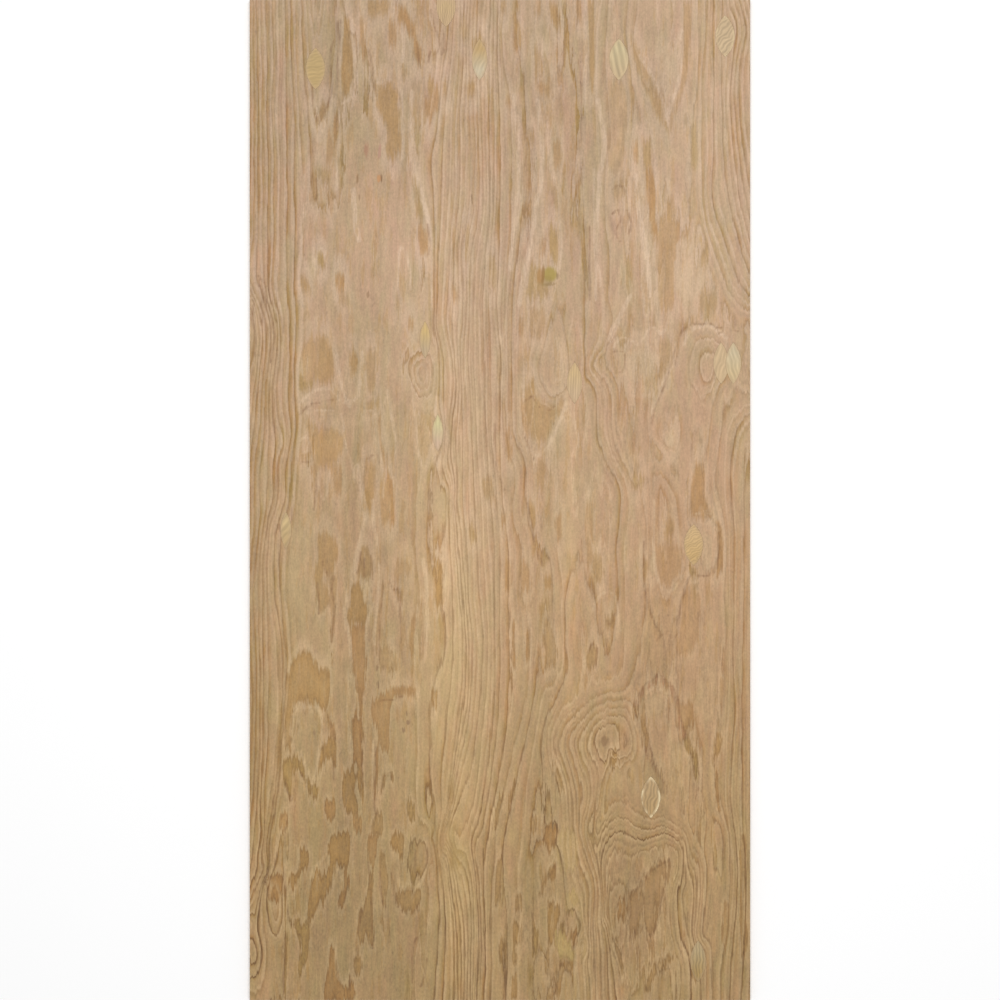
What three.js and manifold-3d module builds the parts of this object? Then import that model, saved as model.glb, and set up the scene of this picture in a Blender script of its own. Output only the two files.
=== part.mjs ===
// Sanded softwood plywood sheet, 4 ft by 8 ft, lying flat with its good face up.
// Millimetres. Width along X, length and face grain along Y, thickness along Z.
// Origin: the middle of the back face, which is the face that the sheet lies on.
//
// Knots and pitch pockets in the face veneer have been routed out, and a boat-shaped
// patch of clear wood is glued into each pocket and sanded flush with the face.

import * as THREE from "three";
import { mergeVertices } from "three/addons/utils/BufferGeometryUtils.js";
import Module from "manifold-3d";

const wasm = await Module();
wasm.setup();

// The sheet
const SHEET_WIDTH = 1219.2; // 4 ft
const SHEET_LENGTH = 2438.4; // 8 ft
const SHEET_THICKNESS = 18.26; // 23/32 in, a sanded 3/4 in sheet
const ARRIS = 0.5; // the sanded-off corner along every edge of both faces

// The patches
const FACE_VENEER = 2.5; // a pocket goes through the face veneer and stops on the next ply
const GLUE_LINE = 0.3; // between a patch and the wall of its pocket
const ARC_STEPS = 16; // straight runs along each side of a patch
const CUTTER_CLEARANCE = 5; // how far a pocket's cutter stands above the face

// The three boat-shaped dies that the patches were punched with
const WIDE = { width: 47, length: 102 };
const MEDIUM = { width: 38, length: 102 };
const NARROW = { width: 27, length: 92 };

// Each patch's die, and its middle from the long edge and the end that are nearest to it.
// They are in the order that they were let in: a later pocket cuts into an earlier patch.
const PATCHES = [
  { name: "boat_patch_01", die: WIDE, fromLeft: 478, fromFar: 16 }, // cut through by the end
  { name: "boat_patch_02", die: WIDE, fromLeft: 160, fromFar: 168 },
  { name: "boat_patch_03", die: MEDIUM, fromLeft: 560, fromFar: 146 },
  { name: "boat_patch_04", die: WIDE, fromRight: 320, fromFar: 146 },
  { name: "boat_patch_05", die: WIDE, fromRight: 61, fromFar: 89 },
  { name: "boat_patch_06", die: NARROW, fromLeft: 427, fromFar: 829 },
  { name: "boat_patch_07", die: NARROW, fromLeft: 458, fromFar: 1056 },
  { name: "boat_patch_08", die: MEDIUM, fromRight: 428, fromFar: 934 },
  { name: "boat_patch_09", die: MEDIUM, fromRight: 71, fromFar: 886 }, // the first of a pair
  { name: "boat_patch_10", die: MEDIUM, fromRight: 41, fromFar: 886 }, // laps into the first
  { name: "boat_patch_11", die: NARROW, fromLeft: 88, fromNear: 1145 },
  { name: "boat_patch_12", die: WIDE, fromRight: 138, fromNear: 1110 },
  { name: "boat_patch_13", die: WIDE, fromRight: 242, fromNear: 495 },
  { name: "boat_patch_14", die: MEDIUM, fromRight: 127, fromNear: 95 },
];

const fir = new THREE.MeshStandardMaterial({ color: 0xbda182, roughness: 0.75, metalness: 0 });
const patchWood = new THREE.MeshStandardMaterial({ color: 0xcdbd94, roughness: 0.75, metalness: 0 });

// A closed geometry as a solid that can be cut and joined
function toSolid(geometry) {
  geometry.deleteAttribute("normal");
  geometry.deleteAttribute("uv");
  const merged = mergeVertices(geometry);
  return new wasm.Manifold(
    new wasm.Mesh({
      numProp: 3,
      vertProperties: merged.attributes.position.array,
      triVerts: Uint32Array.from(merged.index.array),
    }),
  );
}

// A solid as a mesh with flat facets
function toMesh(solid, name, material) {
  const { vertProperties, triVerts } = solid.getMesh();
  const indexed = new THREE.BufferGeometry();
  indexed.setAttribute("position", new THREE.BufferAttribute(vertProperties, 3));
  indexed.setIndex(new THREE.BufferAttribute(triVerts, 1));
  const geometry = indexed.toNonIndexed();
  geometry.computeVertexNormals();
  const mesh = new THREE.Mesh(geometry, material);
  mesh.name = name;
  return mesh;
}

// The sheet before any pocket is routed: a rectangle with its arrises taken off
function sheetBlank() {
  const x = SHEET_WIDTH / 2;
  const y = SHEET_LENGTH / 2;
  const outline = new THREE.Shape([
    new THREE.Vector2(-x, -y),
    new THREE.Vector2(x, -y),
    new THREE.Vector2(x, y),
    new THREE.Vector2(-x, y),
  ]);
  const geometry = new THREE.ExtrudeGeometry(outline, {
    depth: SHEET_THICKNESS - 2 * ARRIS,
    bevelThickness: ARRIS,
    bevelSize: ARRIS,
    bevelOffset: -ARRIS,
    bevelSegments: 1,
  });
  return toSolid(geometry.translate(0, 0, ARRIS));
}

// A boat outline: two equal arcs that meet in a point at each end. Both arcs are drawn
// inset from the die's own line, which leaves the glue line all round a patch.
function boatOutline({ width, length }, inset) {
  const dieRadius = (length ** 2 + width ** 2) / (4 * width);
  const arcCentre = dieRadius - width / 2;
  const radius = dieRadius - inset;
  const halfAngle = Math.acos(arcCentre / radius);
  const points = [];
  for (const side of [1, -1]) {
    for (let step = 0; step < ARC_STEPS; step++) {
      const angle = halfAngle * ((2 * step) / ARC_STEPS - 1);
      const x = side * (radius * Math.cos(angle) - arcCentre);
      const y = side * radius * Math.sin(angle);
      points.push(new THREE.Vector2(x, y));
    }
  }
  return new THREE.Shape(points);
}

// The middle of a patch, from the two edges of the sheet that its place is measured from
function patchMiddle({ fromLeft, fromRight, fromFar, fromNear }) {
  const x = fromLeft === undefined ? SHEET_WIDTH / 2 - fromRight : fromLeft - SHEET_WIDTH / 2;
  const y = fromFar === undefined ? fromNear - SHEET_LENGTH / 2 : SHEET_LENGTH / 2 - fromFar;
  return { x, y };
}

// A boat-shaped block that stands on the floor of the patch's pocket and rises past the face
function boatBlock(patch, inset = 0) {
  const { x, y } = patchMiddle(patch);
  const geometry = new THREE.ExtrudeGeometry(boatOutline(patch.die, inset), {
    depth: FACE_VENEER + CUTTER_CLEARANCE,
    bevelEnabled: false,
  });
  return toSolid(geometry.translate(x, y, SHEET_THICKNESS - FACE_VENEER));
}

const blank = sheetBlank();
const pockets = PATCHES.map((patch) => boatBlock(patch));
const plywood = new THREE.Group();

// The sheet, with a pocket for every patch
const pocketed = pockets.reduce((sheet, pocket) => sheet.subtract(pocket), blank);
plywood.add(toMesh(pocketed, "plywood_sheet", fir));

// The patches, each seated on its pocket's floor, sanded flush and trimmed with the sheet
PATCHES.forEach((patch, index) => {
  const fitted = boatBlock(patch, GLUE_LINE).intersect(blank);
  const laterPockets = pockets.slice(index + 1);
  const finished = laterPockets.reduce((wood, pocket) => wood.subtract(pocket), fitted);
  plywood.add(toMesh(finished, patch.name, patchWood));
});

export default plywood;
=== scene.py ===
# A sanded softwood plywood sheet, 4 ft by 8 ft, lying on a pale floor with its good face up.
# Metres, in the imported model's frame: X across the sheet, Y along it, Z out of its good face.
import math
from functools import partial

import bmesh
import bpy
import numpy as np
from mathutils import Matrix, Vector


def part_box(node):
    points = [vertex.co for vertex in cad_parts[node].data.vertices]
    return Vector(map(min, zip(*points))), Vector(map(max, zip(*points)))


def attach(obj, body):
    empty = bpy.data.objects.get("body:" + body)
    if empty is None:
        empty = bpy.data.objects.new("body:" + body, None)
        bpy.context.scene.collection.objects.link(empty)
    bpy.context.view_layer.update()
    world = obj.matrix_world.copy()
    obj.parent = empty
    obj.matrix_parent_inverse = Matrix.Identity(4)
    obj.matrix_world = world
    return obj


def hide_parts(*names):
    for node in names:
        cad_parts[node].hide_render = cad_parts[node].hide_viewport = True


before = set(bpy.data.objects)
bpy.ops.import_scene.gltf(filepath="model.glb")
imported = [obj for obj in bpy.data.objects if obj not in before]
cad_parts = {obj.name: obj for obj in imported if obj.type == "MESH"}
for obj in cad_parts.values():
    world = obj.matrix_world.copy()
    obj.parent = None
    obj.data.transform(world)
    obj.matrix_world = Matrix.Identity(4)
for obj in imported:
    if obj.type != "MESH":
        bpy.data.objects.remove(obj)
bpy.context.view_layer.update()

# ---------------------------------------------------------------------------------------
# The room: a pale floor under a wide soft light, with the camera straight above the sheet.
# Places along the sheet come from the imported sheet's own box.

MM = 0.001
sheet_low, sheet_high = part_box("plywood_sheet")
SHEET_WIDTH, SHEET_LENGTH, SHEET_THICKNESS = sheet_high - sheet_low

CAMERA_LENS = 85.0
SENSOR = 36.0
END_OVERHANG = 1.0 * MM  # how much of each end lies past the edge of the frame
FLOOR_SIZE = 60.0
FLOOR_DROP = 0.5 * MM  # keeps the floor's plane off the sheet's back
FLOOR_COLOUR = "fafafa"
WALL_LIGHT = "ffffff"
WALL_STRENGTH = 0.42
KEY_PLACE = (0.3, 0.9, 7.5)
KEY_SIZE = 5.0
KEY_WATTS = 440.0


def linear(hex_colour):
    """An sRGB hex colour as linear RGBA."""
    channels = [int(hex_colour[i : i + 2], 16) / 255 for i in (0, 2, 4)]
    return [c / 12.92 if c <= 0.04045 else ((c + 0.055) / 1.055) ** 2.4 for c in channels] + [1.0]


def feed(fed, inputs):
    """Gives a node its inputs, in order or by name: each a value or another node's output."""
    named = inputs if isinstance(inputs, dict) else dict(enumerate(inputs))
    for key, value in named.items():
        if isinstance(value, bpy.types.NodeSocket):
            fed.id_data.links.new(value, fed.inputs[key])
        else:
            fed.inputs[key].default_value = value


def add_node(tree, kind, inputs=(), out=0, **settings):
    """Adds a node with its inputs and settings, and gives one of its outputs."""
    made = tree.nodes.new(kind)
    for name, value in settings.items():
        setattr(made, name, value)
    feed(made, inputs)
    return made.outputs[out]


def new_material(name):
    """An empty material, what adds a node to it, and its Principled shader."""
    material = bpy.data.materials.new(name)
    material.use_nodes = True
    tree = material.node_tree
    return material, partial(add_node, tree), tree.nodes["Principled BSDF"]


def placed(name, data):
    """A new object in the scene."""
    made = bpy.data.objects.new(name, data)
    bpy.context.collection.objects.link(made)
    return made


def make_floor():
    """A wide painted floor, just under the sheet."""
    mesh = bpy.data.meshes.new("floor")
    half = FLOOR_SIZE / 2
    corners = [(-half, -half), (half, -half), (half, half), (-half, half)]
    mesh.from_pydata([(x, y, sheet_low.z - FLOOR_DROP) for x, y in corners], [], [(0, 1, 2, 3)])
    material, _, shader = new_material("painted pale floor")
    feed(shader, {"Base Color": linear(FLOOR_COLOUR), "Roughness": 0.9})
    mesh.materials.append(material)
    floor = placed("floor", mesh)


def make_lights():
    """Pale walls all round, and one wide soft light above."""
    world = bpy.data.worlds.new("pale room")
    world.use_nodes = True
    glow = {"Color": linear(WALL_LIGHT), "Strength": WALL_STRENGTH}
    feed(world.node_tree.nodes["Background"], glow)
    bpy.context.scene.world = world
    light = bpy.data.lights.new("soft key", "AREA")
    light.size = KEY_SIZE
    light.energy = KEY_WATTS
    key = placed("soft key", light)
    key.location = KEY_PLACE
    key.rotation_euler = (-Vector(KEY_PLACE)).to_track_quat("-Z", "Y").to_euler()
    key.visible_camera = False


def make_camera():
    """Straight above the sheet, at the height where its length fills the square frame."""
    data = bpy.data.cameras.new("camera")
    data.lens = CAMERA_LENS
    data.sensor_width = SENSOR
    camera = placed("camera", data)
    height = (SHEET_LENGTH / 2 - END_OVERHANG) * CAMERA_LENS / (SENSOR / 2)
    camera.location = (0, 0, sheet_high.z + height)
    bpy.context.scene.camera = camera
    bpy.context.scene.view_settings.view_transform = "Standard"


make_floor()
make_lights()
make_camera()

# ---------------------------------------------------------------------------------------
# The sheet: seven rotary-cut fir plies, glued with the grain turned a quarter from ply to
# ply. Its good face is peeled veneer, sanded, so the growth rings show as contour lines:
# straight where the knife crossed them, and broad and ragged where it ran along them.

FACE_PLY = sheet_high.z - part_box("boat_patch_02")[0].z
PLIES = 7
ARRIS = 0.5 * MM  # the slope sanded along every edge
CELLS_ACROSS, CELLS_ALONG = 240, 290  # of the face's fine grid: each 5 mm by 8 mm
GLUE_LINE_HALF = 0.07 * MM
END_GRAIN_RECESS = 0.18 * MM  # how far back the plies lie that show their end grain
TOUCHING = 0.01 * MM  # places nearer than this are one
CUTTER_MARGIN = 2 * FACE_PLY  # how far the blocks that cut the pockets stand out of the sheet
SIDE_BAND = 3 * MM  # every face of a sawn side lies nearer the outline than this
SIDEWAYS = 0.3  # and looks out at least this far

# The figure of the face is drawn in thousandths of the sheet's length: across from its
# middle line, to the right, and down from its far end.
THOUSANDTH = SHEET_LENGTH / 1000
GRAIN_STRETCH = 0.35  # the figure counts as this much shorter along the grain
CURVE_STEP = 7.0  # between the places that are taken from a drawn ring
GIVE = 2.0  # how far the figure may leave a drawn ring, to stay smooth
LEAST_CROWDING = 0.012  # rings in each thousandth
RAGGED_ACROSS = 5.0  # how far a ring's edge strays from its line, and how far its teeth run
RAGGED_ALONG = 11.0
LATTICE = 256  # bumps of the figure's noise before it repeats
FULL_SWING = 1.6  # what brings that noise to about -1 to 1
STRAY_WIDE, STRAY_LONG, STRAY_SEED = 6, 30, 5  # the bumps by which rings stray from the plate
LEAST_RAGGED = 0.05
TINY = 1e-9  # keeps a divisor or a logarithm off 0

# The growth rings as they are drawn on the face. Beside a whole number are points on that
# ring's line, a smooth curve, closed if it ends where it starts. Beside any other number are
# loose places that lie that far between two rings.
DRAWN_RINGS = [
    # left, straight grain
    (11, [(-254, 0), (-254, 125), (-255, 230)]),
    (8, [(-243, 0), (-243, 60), (-242, 120), (-242, 200), (-243, 262)]),
    (5, [(-228, 0), (-227, 60), (-228, 120), (-226, 170), (-227, 240), (-228, 285), (-225, 302),
      (-220, 325), (-220, 355), (-224, 385), (-222, 420), (-217, 446), (-222, 462), (-223, 500),
      (-229, 525), (-233, 560), (-232, 620), (-231, 680), (-233, 750), (-236, 800), (-235, 835),
      (-238, 862)]),
    (3, [(-215, 0), (-214, 60), (-214, 120), (-213, 180), (-214, 250), (-213, 290), (-210, 320),
      (-211, 360), (-212, 400), (-209, 435), (-214, 462), (-216, 500), (-222, 520), (-226, 560),
      (-224, 600), (-218, 640), (-217, 700), (-220, 740), (-224, 790), (-230, 820), (-233, 850)]),
    (2, [(-210, 0), (-208, 60), (-206, 120), (-206, 180), (-206, 250), (-206, 290), (-204, 325),
      (-206, 370), (-205, 400), (-204, 430), (-208, 460), (-211, 500), (-217, 530), (-220, 570),
      (-217, 620), (-214, 670), (-217, 720), (-219, 760), (-224, 800), (-230, 840)]),
    (1, [(-204, 0), (-204, 60), (-200, 125), (-196, 180), (-198, 250), (-200, 278), (-197, 298),
      (-197, 345), (-201, 368), (-201, 390), (-198, 420), (-202, 460), (-205, 500), (-211, 540),
      (-214, 580), (-211, 620), (-209, 665), (-213, 710), (-216, 750), (-218, 790), (-225, 830)]),
    # knot on the left edge
    (8, [(-243, 275), (-236, 300), (-230, 325), (-230, 352), (-234, 390), (-235, 430), (-240, 470),
      (-240, 520)]),
    (10, [(-252, 285), (-243, 305), (-238, 328), (-238, 350), (-241, 380), (-245, 420)]),
    (13, [(-250, 300), (-246, 325), (-247, 350), (-250, 365)]),
    (7, [(-241, 560), (-242, 620), (-240, 680), (-241, 740), (-243, 800), (-246, 840), (-248, 856)]),
    # V at the top left, its patch and the blotches under it
    (0, [(-199, 0), (-197, 60), (-193, 110), (-190, 150), (-188, 190), (-183, 204), (-177, 188),
      (-170, 203), (-164, 196), (-163, 150), (-161, 118), (-157, 100), (-151, 96), (-147, 84), (-146, 62),
      (-149, 38), (-153, 20), (-157, 0)]),
    (-1, [(-194, 0), (-192, 40), (-189, 90), (-187, 113), (-181, 121), (-175, 109), (-171, 98),
      (-169, 72), (-167, 48), (-165, 24), (-163, 0)]),
    (-2, [(-190, 0), (-187, 28), (-184, 48), (-179, 30), (-175, 0)]),
    (-3, [(-185, 0), (-182, 20), (-179, 0)]),
    # edge of the flat grain, upper half
    (1, [(-70, 0), (-66, 20), (-62, 45), (-66, 70), (-70, 90), (-76, 110), (-84, 135), (-90, 160),
      (-86, 178), (-80, 196), (-74, 216), (-70, 240), (-69, 275), (-68, 330), (-64, 348), (-63, 375),
      (-65, 400), (-68, 430), (-72, 460)]),
    (0.6, [(-88, 225), (-88, 255), (-87, 285), (-86, 315), (-90, 520), (-90, 580), (-90, 640), (-90, 700),
      (-90, 760), (-206, 570), (-204, 630), (-202, 700), (-205, 760), (-208, 810)]),
    (2, [(-49, 0), (-52, 45), (-58, 75), (-61, 110), (-65, 140), (-69, 165), (-67, 190), (-66, 230),
      (-66, 280), (-66, 315)]),
    # straight grain in the middle: every third ring
    (5, [(-39, 0), (-40, 60), (-45, 125), (-46, 200), (-50, 250), (-52, 300), (-54, 325), (-49, 352),
      (-46, 385), (-50, 415), (-52, 450), (-50, 480), (-46, 520), (-45, 548)]),
    (8, [(-29, 0), (-31, 50), (-30, 125), (-31, 200), (-38, 250), (-37, 300), (-40, 350), (-38, 400),
      (-37, 450), (-37, 500), (-34, 545), (-31, 600), (-27, 640), (-28, 680), (-32, 720), (-38, 750),
      (-44, 780), (-50, 810), (-57, 836)]),
    (11, [(-17, 0), (-19, 60), (-18, 125), (-17, 200), (-23, 250), (-26, 285), (-27, 330), (-24, 400),
      (-23, 450), (-20, 500), (-17, 560), (-13, 620), (-13, 680), (-17, 730), (-23, 780), (-30, 815),
      (-40, 832), (-45, 846)]),
    (14, [(-6, 0), (-7, 60), (-6, 125), (-6, 200), (-9, 250), (-11, 300), (-10, 360), (-9, 420),
      (-6, 470), (-2, 510), (0, 560), (0, 620), (0, 680), (-3, 730), (-9, 780), (-18, 830), (-25, 850)]),
    (16, [(4, 0), (2, 35), (4, 65), (10, 100), (11, 140), (13, 180), (11, 230), (8, 270), (5, 310),
      (5, 400), (8, 440), (12, 460), (17, 480), (12, 505), (14, 525), (22, 548), (21, 590), (28, 612),
      (30, 645), (27, 685), (20, 722), (12, 755), (4, 790), (-4, 830), (-6, 860), (-9, 900), (-9, 1000)]),
    (15, [(0, 350), (0, 440), (3, 500), (8, 545), (9, 600), (12, 650), (10, 700), (3, 750), (-5, 800),
      (-13, 840), (-15, 880), (-15, 1000)]),
    (17, [(16, 0), (17, 40), (23, 75), (25, 120), (32, 150), (33, 180), (27, 212), (21, 240), (15, 275),
      (12, 320), (12, 390), (13, 430), (20, 450), (24, 462), (24, 490), (30, 525), (36, 548), (42, 558),
      (50, 564), (50, 590), (46, 622), (47, 637), (53, 648), (51, 663), (44, 672), (36, 670), (35, 690),
      (30, 715), (24, 745), (17, 775), (10, 810), (3, 850), (6, 880), (8, 905), (5, 925), (8, 960),
      (6, 1000)]),
    (18, [(36, 0), (37, 30), (40, 52), (36, 78), (43, 92), (45, 125), (48, 160), (54, 190), (57, 230),
      (56, 262), (50, 294), (38, 301), (27, 314), (22, 345), (21, 400), (24, 434), (36, 452), (46, 456),
      (50, 480), (52, 520), (58, 560), (62, 590), (60, 610), (62, 640), (62, 662), (54, 682), (44, 690),
      (40, 702), (38, 715), (34, 735), (30, 760), (25, 790), (22, 830), (18, 860), (17, 890), (19, 915),
      (16, 950), (17, 1000)]),
    # eye by the middle patch
    (19, [(54, 318), (45, 343), (38, 368), (43, 386), (54, 397), (64, 391), (69, 376), (68, 350),
      (62, 325), (54, 318)]),
    (20, [(52, 372), (54, 380), (60, 381), (65, 374), (60, 366), (55, 362), (52, 372)]),
    (18, [(70, 348), (71, 333), (76, 324), (79, 336), (81, 356)]),
    (17.8, [(31, 330), (31, 400), (36, 425), (48, 424), (58, 408)]),
    # right of the middle
    (19, [(60, 0), (62, 14), (69, 38), (71, 54), (78, 74), (81, 110), (82, 150), (78, 176), (79, 205),
      (84, 240), (87, 280), (84, 320), (84, 345), (85, 366), (92, 384), (96, 410), (98, 440), (108, 466),
      (118, 486), (120, 515), (117, 545), (118, 590)]),
    (18.5, [(62, 100), (62, 140), (68, 220), (70, 280)]),
    (18.5, [(60, 430), (65, 460), (66, 500)]),
    (18.2, [(48, 50), (50, 80), (55, 120)]),
    (20, [(100, 0), (95, 40), (95, 90), (96, 150), (96, 210), (98, 260), (101, 310), (96, 345), (88, 366),
      (98, 384), (104, 402), (104, 435), (114, 462), (126, 488), (128, 515), (124, 550), (124, 590),
      (124, 640)]),
    (21, [(108, 0), (106, 30), (106, 80), (108, 110), (109, 145), (104, 175), (104, 215), (108, 250),
      (108, 300), (112, 326), (100, 353), (92, 366), (104, 380), (110, 395), (111, 420), (117, 450),
      (130, 478), (140, 492), (146, 520), (145, 570), (146, 600)]),
    (22, [(128, 0), (126, 30), (133, 88), (140, 112), (141, 145), (147, 168), (150, 188), (156, 214),
      (158, 240), (154, 280), (152, 305), (146, 336), (139, 345), (131, 338), (118, 338), (108, 343),
      (100, 358), (104, 366), (112, 374), (118, 388), (120, 408), (127, 424), (135, 440), (147, 468),
      (150, 500), (149, 545), (148, 575), (150, 605), (156, 627), (160, 637), (166, 634), (173, 642),
      (179, 630), (181, 598), (188, 580), (192, 574)]),
    # V at the top right
    (23, [(138, 0), (135, 22), (133, 44), (140, 60), (142, 74), (151, 84), (155, 100), (161, 104),
      (164, 120), (168, 127), (173, 115), (176, 98), (181, 84), (185, 62), (186, 30), (188, 0)]),
    (23.35, [(150, 10), (155, 50), (165, 85), (170, 20), (176, 60)]),
    (22.5, [(150, 115), (180, 120), (185, 100), (195, 40), (192, 80)]),
    (22.3, [(165, 170), (175, 180), (160, 155)]),
    # right, straight grain: the rings fall towards the edge
    (22, [(198, 0), (199, 60), (196, 100), (191, 112), (191, 140), (188, 172), (187, 198), (180, 225),
      (190, 250)]),
    (21, [(206, 0), (205, 40), (202, 90), (202, 150), (202, 200), (206, 225), (216, 255), (226, 285),
      (240, 305), (254, 312)]),
    (19, [(213, 0), (212, 40), (213, 65), (213, 120), (213, 160), (212, 200), (220, 228), (228, 252),
      (240, 285), (254, 302)]),
    (17, [(222, 0), (221, 55), (222, 110), (224, 160), (230, 205), (240, 248), (254, 285)]),
    (15, [(229, 0), (236, 30), (233, 58), (230, 100), (233, 150), (241, 205), (254, 258)]),
    (13, [(238, 0), (245, 30), (240, 62), (238, 110), (245, 165), (254, 215)]),
    (11, [(248, 0), (254, 30), (250, 62), (252, 120)]),
    (22, [(192, 232), (200, 228), (205, 240), (204, 262), (210, 284), (222, 305), (236, 322),
      (254, 330)]),
    # knot on the right with the twin patches
    (22, [(254, 336), (240, 338), (228, 344), (220, 335), (210, 321), (196, 322), (183, 328), (175, 345),
      (168, 362), (160, 385), (152, 410), (149, 430), (157, 445), (170, 462), (178, 470), (186, 500),
      (190, 520)]),
    (23, [(220, 342), (206, 337), (195, 342), (190, 358), (190, 385), (198, 397), (208, 393), (216, 380),
      (222, 364)]),
    (24, [(213, 352), (203, 352), (199, 366), (202, 378), (209, 382), (214, 370), (213, 352)]),
    (22.45, [(182, 355), (178, 385), (185, 410), (195, 420)]),
    (23, [(166, 428), (159, 436), (166, 446), (175, 449), (178, 436), (174, 428), (166, 428)]),
    (22, [(218, 388), (212, 410), (202, 438), (199, 470), (194, 500), (190, 515)]),
    (21, [(254, 392), (236, 398), (228, 402), (222, 425), (218, 450), (218, 490), (222, 515), (226, 545),
      (225, 590), (225, 640), (222, 660), (224, 685), (222, 715), (216, 745), (215, 775), (217, 800),
      (224, 812), (229, 835), (230, 865), (229, 900), (226, 935), (221, 970), (220, 1000)]),
    (20, [(254, 404), (240, 412), (230, 430), (227, 460), (227, 500), (231, 540), (231, 590), (231, 650),
      (230, 700), (228, 745), (227, 800), (232, 835), (235, 870), (233, 910), (229, 950), (226, 1000)]),
    (18, [(254, 420), (243, 430), (236, 455), (235, 500), (237, 545), (237, 600), (235, 650), (238, 710),
      (235, 760), (233, 800), (238, 840), (240, 880), (238, 920), (235, 960), (233, 1000)]),
    (17, [(254, 445), (246, 465), (243, 510), (244, 600), (242, 700), (242, 800), (245, 860), (244, 930),
      (241, 1000)]),
    (16, [(254, 500), (251, 600), (250, 700), (250, 800), (252, 900), (248, 1000)]),
    # oval round the yellow patch
    (22, [(191, 573), (202, 577), (213, 575), (217, 560), (219, 535), (215, 521), (205, 515),
      (194, 518)]),
    (22.4, [(208, 530), (210, 560)]),
    (21.6, [(200, 600), (195, 640), (185, 655), (160, 655), (205, 690)]),
    (23, [(153, 480), (153, 550), (156, 580), (164, 594), (173, 588), (184, 570), (180, 540), (176, 500),
      (166, 480)]),
    (22.35, [(162, 610), (170, 618)]),
    # peaked arch and what it holds
    (22, [(143, 735), (136, 716), (133, 704), (136, 696), (143, 687), (151, 682), (158, 674), (164, 679),
      (172, 684), (176, 698), (180, 716), (187, 738), (194, 760), (199, 790), (203, 820), (206, 832),
      (203, 848), (207, 872), (205, 900), (203, 936), (211, 948), (212, 1000)]),
    (22.2, [(146, 694), (158, 690), (166, 700), (176, 730), (186, 765)]),
    (22.6, [(155, 730), (165, 750), (176, 770)]),
    (21.6, [(205, 740), (207, 780), (218, 880), (215, 920)]),
    (22, [(214, 842), (222, 836), (217, 862), (221, 878)]),
    # knot
    (21, [(124, 690), (104, 694), (88, 702), (74, 716), (62, 732), (58, 748), (64, 764), (71, 788),
      (73, 815), (76, 838), (78, 856), (84, 874), (89, 893), (88, 912), (88, 940), (90, 1000)]),
    (20, [(84, 640), (82, 668), (76, 690), (64, 706), (54, 724), (51, 745), (56, 765), (64, 790),
      (66, 820), (66, 850), (72, 880), (80, 905), (82, 940), (84, 1000)]),
    (19, [(66, 600), (66, 645), (68, 668), (60, 690), (50, 710), (44, 728), (41, 748), (44, 770),
      (42, 795), (33, 815), (32, 850), (28, 875), (32, 890), (32, 920), (32, 960), (31, 1000)]),
    (22, [(125, 699), (106, 702), (92, 709), (79, 722), (69, 740), (73, 756), (79, 780), (80, 808),
      (79, 832), (84, 850), (91, 872), (94, 894), (93, 915), (94, 940), (96, 1000)]),
    (23, [(125, 707), (107, 709), (94, 717), (84, 729), (79, 742), (82, 756), (91, 776), (91, 802),
      (85, 828), (90, 852), (96, 875), (98, 896), (97, 915), (100, 940), (102, 1000)]),
    (24, [(122, 716), (108, 717), (96, 724), (89, 736), (88, 750), (97, 766), (101, 786), (97, 804),
      (88, 826), (94, 850), (100, 876), (101, 900), (101, 916), (107, 944), (109, 1000)]),
    (25, [(118, 727), (108, 723), (98, 730), (94, 741), (98, 753), (107, 759), (116, 753), (119, 741),
      (118, 727)]),
    (25.6, [(104, 738), (102, 742), (105, 743)]),
    (22.5, [(128, 762), (112, 775), (108, 790), (130, 785)]),
    (24, [(122, 716), (131, 730), (133, 745), (128, 757), (110, 757)]),
    # arches under the lower right patch
    (23, [(98, 826), (106, 812), (116, 802), (126, 800), (138, 812), (150, 819), (164, 817), (176, 824),
      (186, 834), (190, 850), (199, 868), (199, 900), (197, 935), (205, 955), (206, 1000)]),
    (24, [(98, 846), (102, 832), (112, 821), (124, 818), (137, 826), (150, 829), (163, 826), (176, 832),
      (184, 842), (188, 862), (193, 885), (192, 915), (193, 940), (199, 960), (200, 1000)]),
    (25, [(101, 876), (103, 850), (112, 836), (124, 832), (136, 840), (150, 838), (164, 833), (175, 838),
      (183, 848), (183, 866), (179, 888), (178, 915), (181, 940), (188, 962), (190, 1000)]),
    (26, [(104, 916), (105, 880), (110, 858), (118, 849), (128, 857), (140, 852), (152, 848), (166, 845),
      (178, 852), (179, 870), (170, 894), (167, 920), (165, 944), (172, 952), (180, 972), (182, 1000)]),
    (26, [(129, 898), (134, 888), (141, 885), (148, 872), (156, 866), (165, 862), (169, 858), (168, 872),
      (163, 890), (160, 906), (157, 924), (151, 937), (145, 928), (138, 925), (133, 939), (129, 940),
      (127, 920), (129, 898)]),
    (25.8, [(138, 900), (148, 900), (155, 880), (150, 920)]),
    (26.25, [(160, 855), (140, 950), (150, 955), (120, 870)]),
    (27, [(112, 890), (109, 910), (113, 938), (120, 948), (126, 930), (126, 900), (120, 884),
      (112, 890)]),
    (28, [(119, 900), (118, 910), (123, 912), (124, 900), (119, 900)]),
    (26, [(125, 992), (138, 986), (148, 972), (160, 962), (170, 956)]),
    (25.7, [(130, 1000), (160, 980), (172, 970)]),
    # lower middle
    (19, [(43, 822), (50, 826), (58, 830), (56, 845), (50, 852), (43, 838), (43, 822)]),
    (18, [(42, 858), (50, 851), (55, 860), (52, 874), (44, 881), (39, 872), (42, 858)]),
    (18, [(47, 900), (53, 905), (50, 925), (52, 942), (48, 945), (48, 925), (47, 900)]),
    (18.5, [(24, 960), (24, 1000)]),
    (19, [(38, 1000), (42, 975), (46, 958), (48, 985), (52, 998)]),
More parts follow.
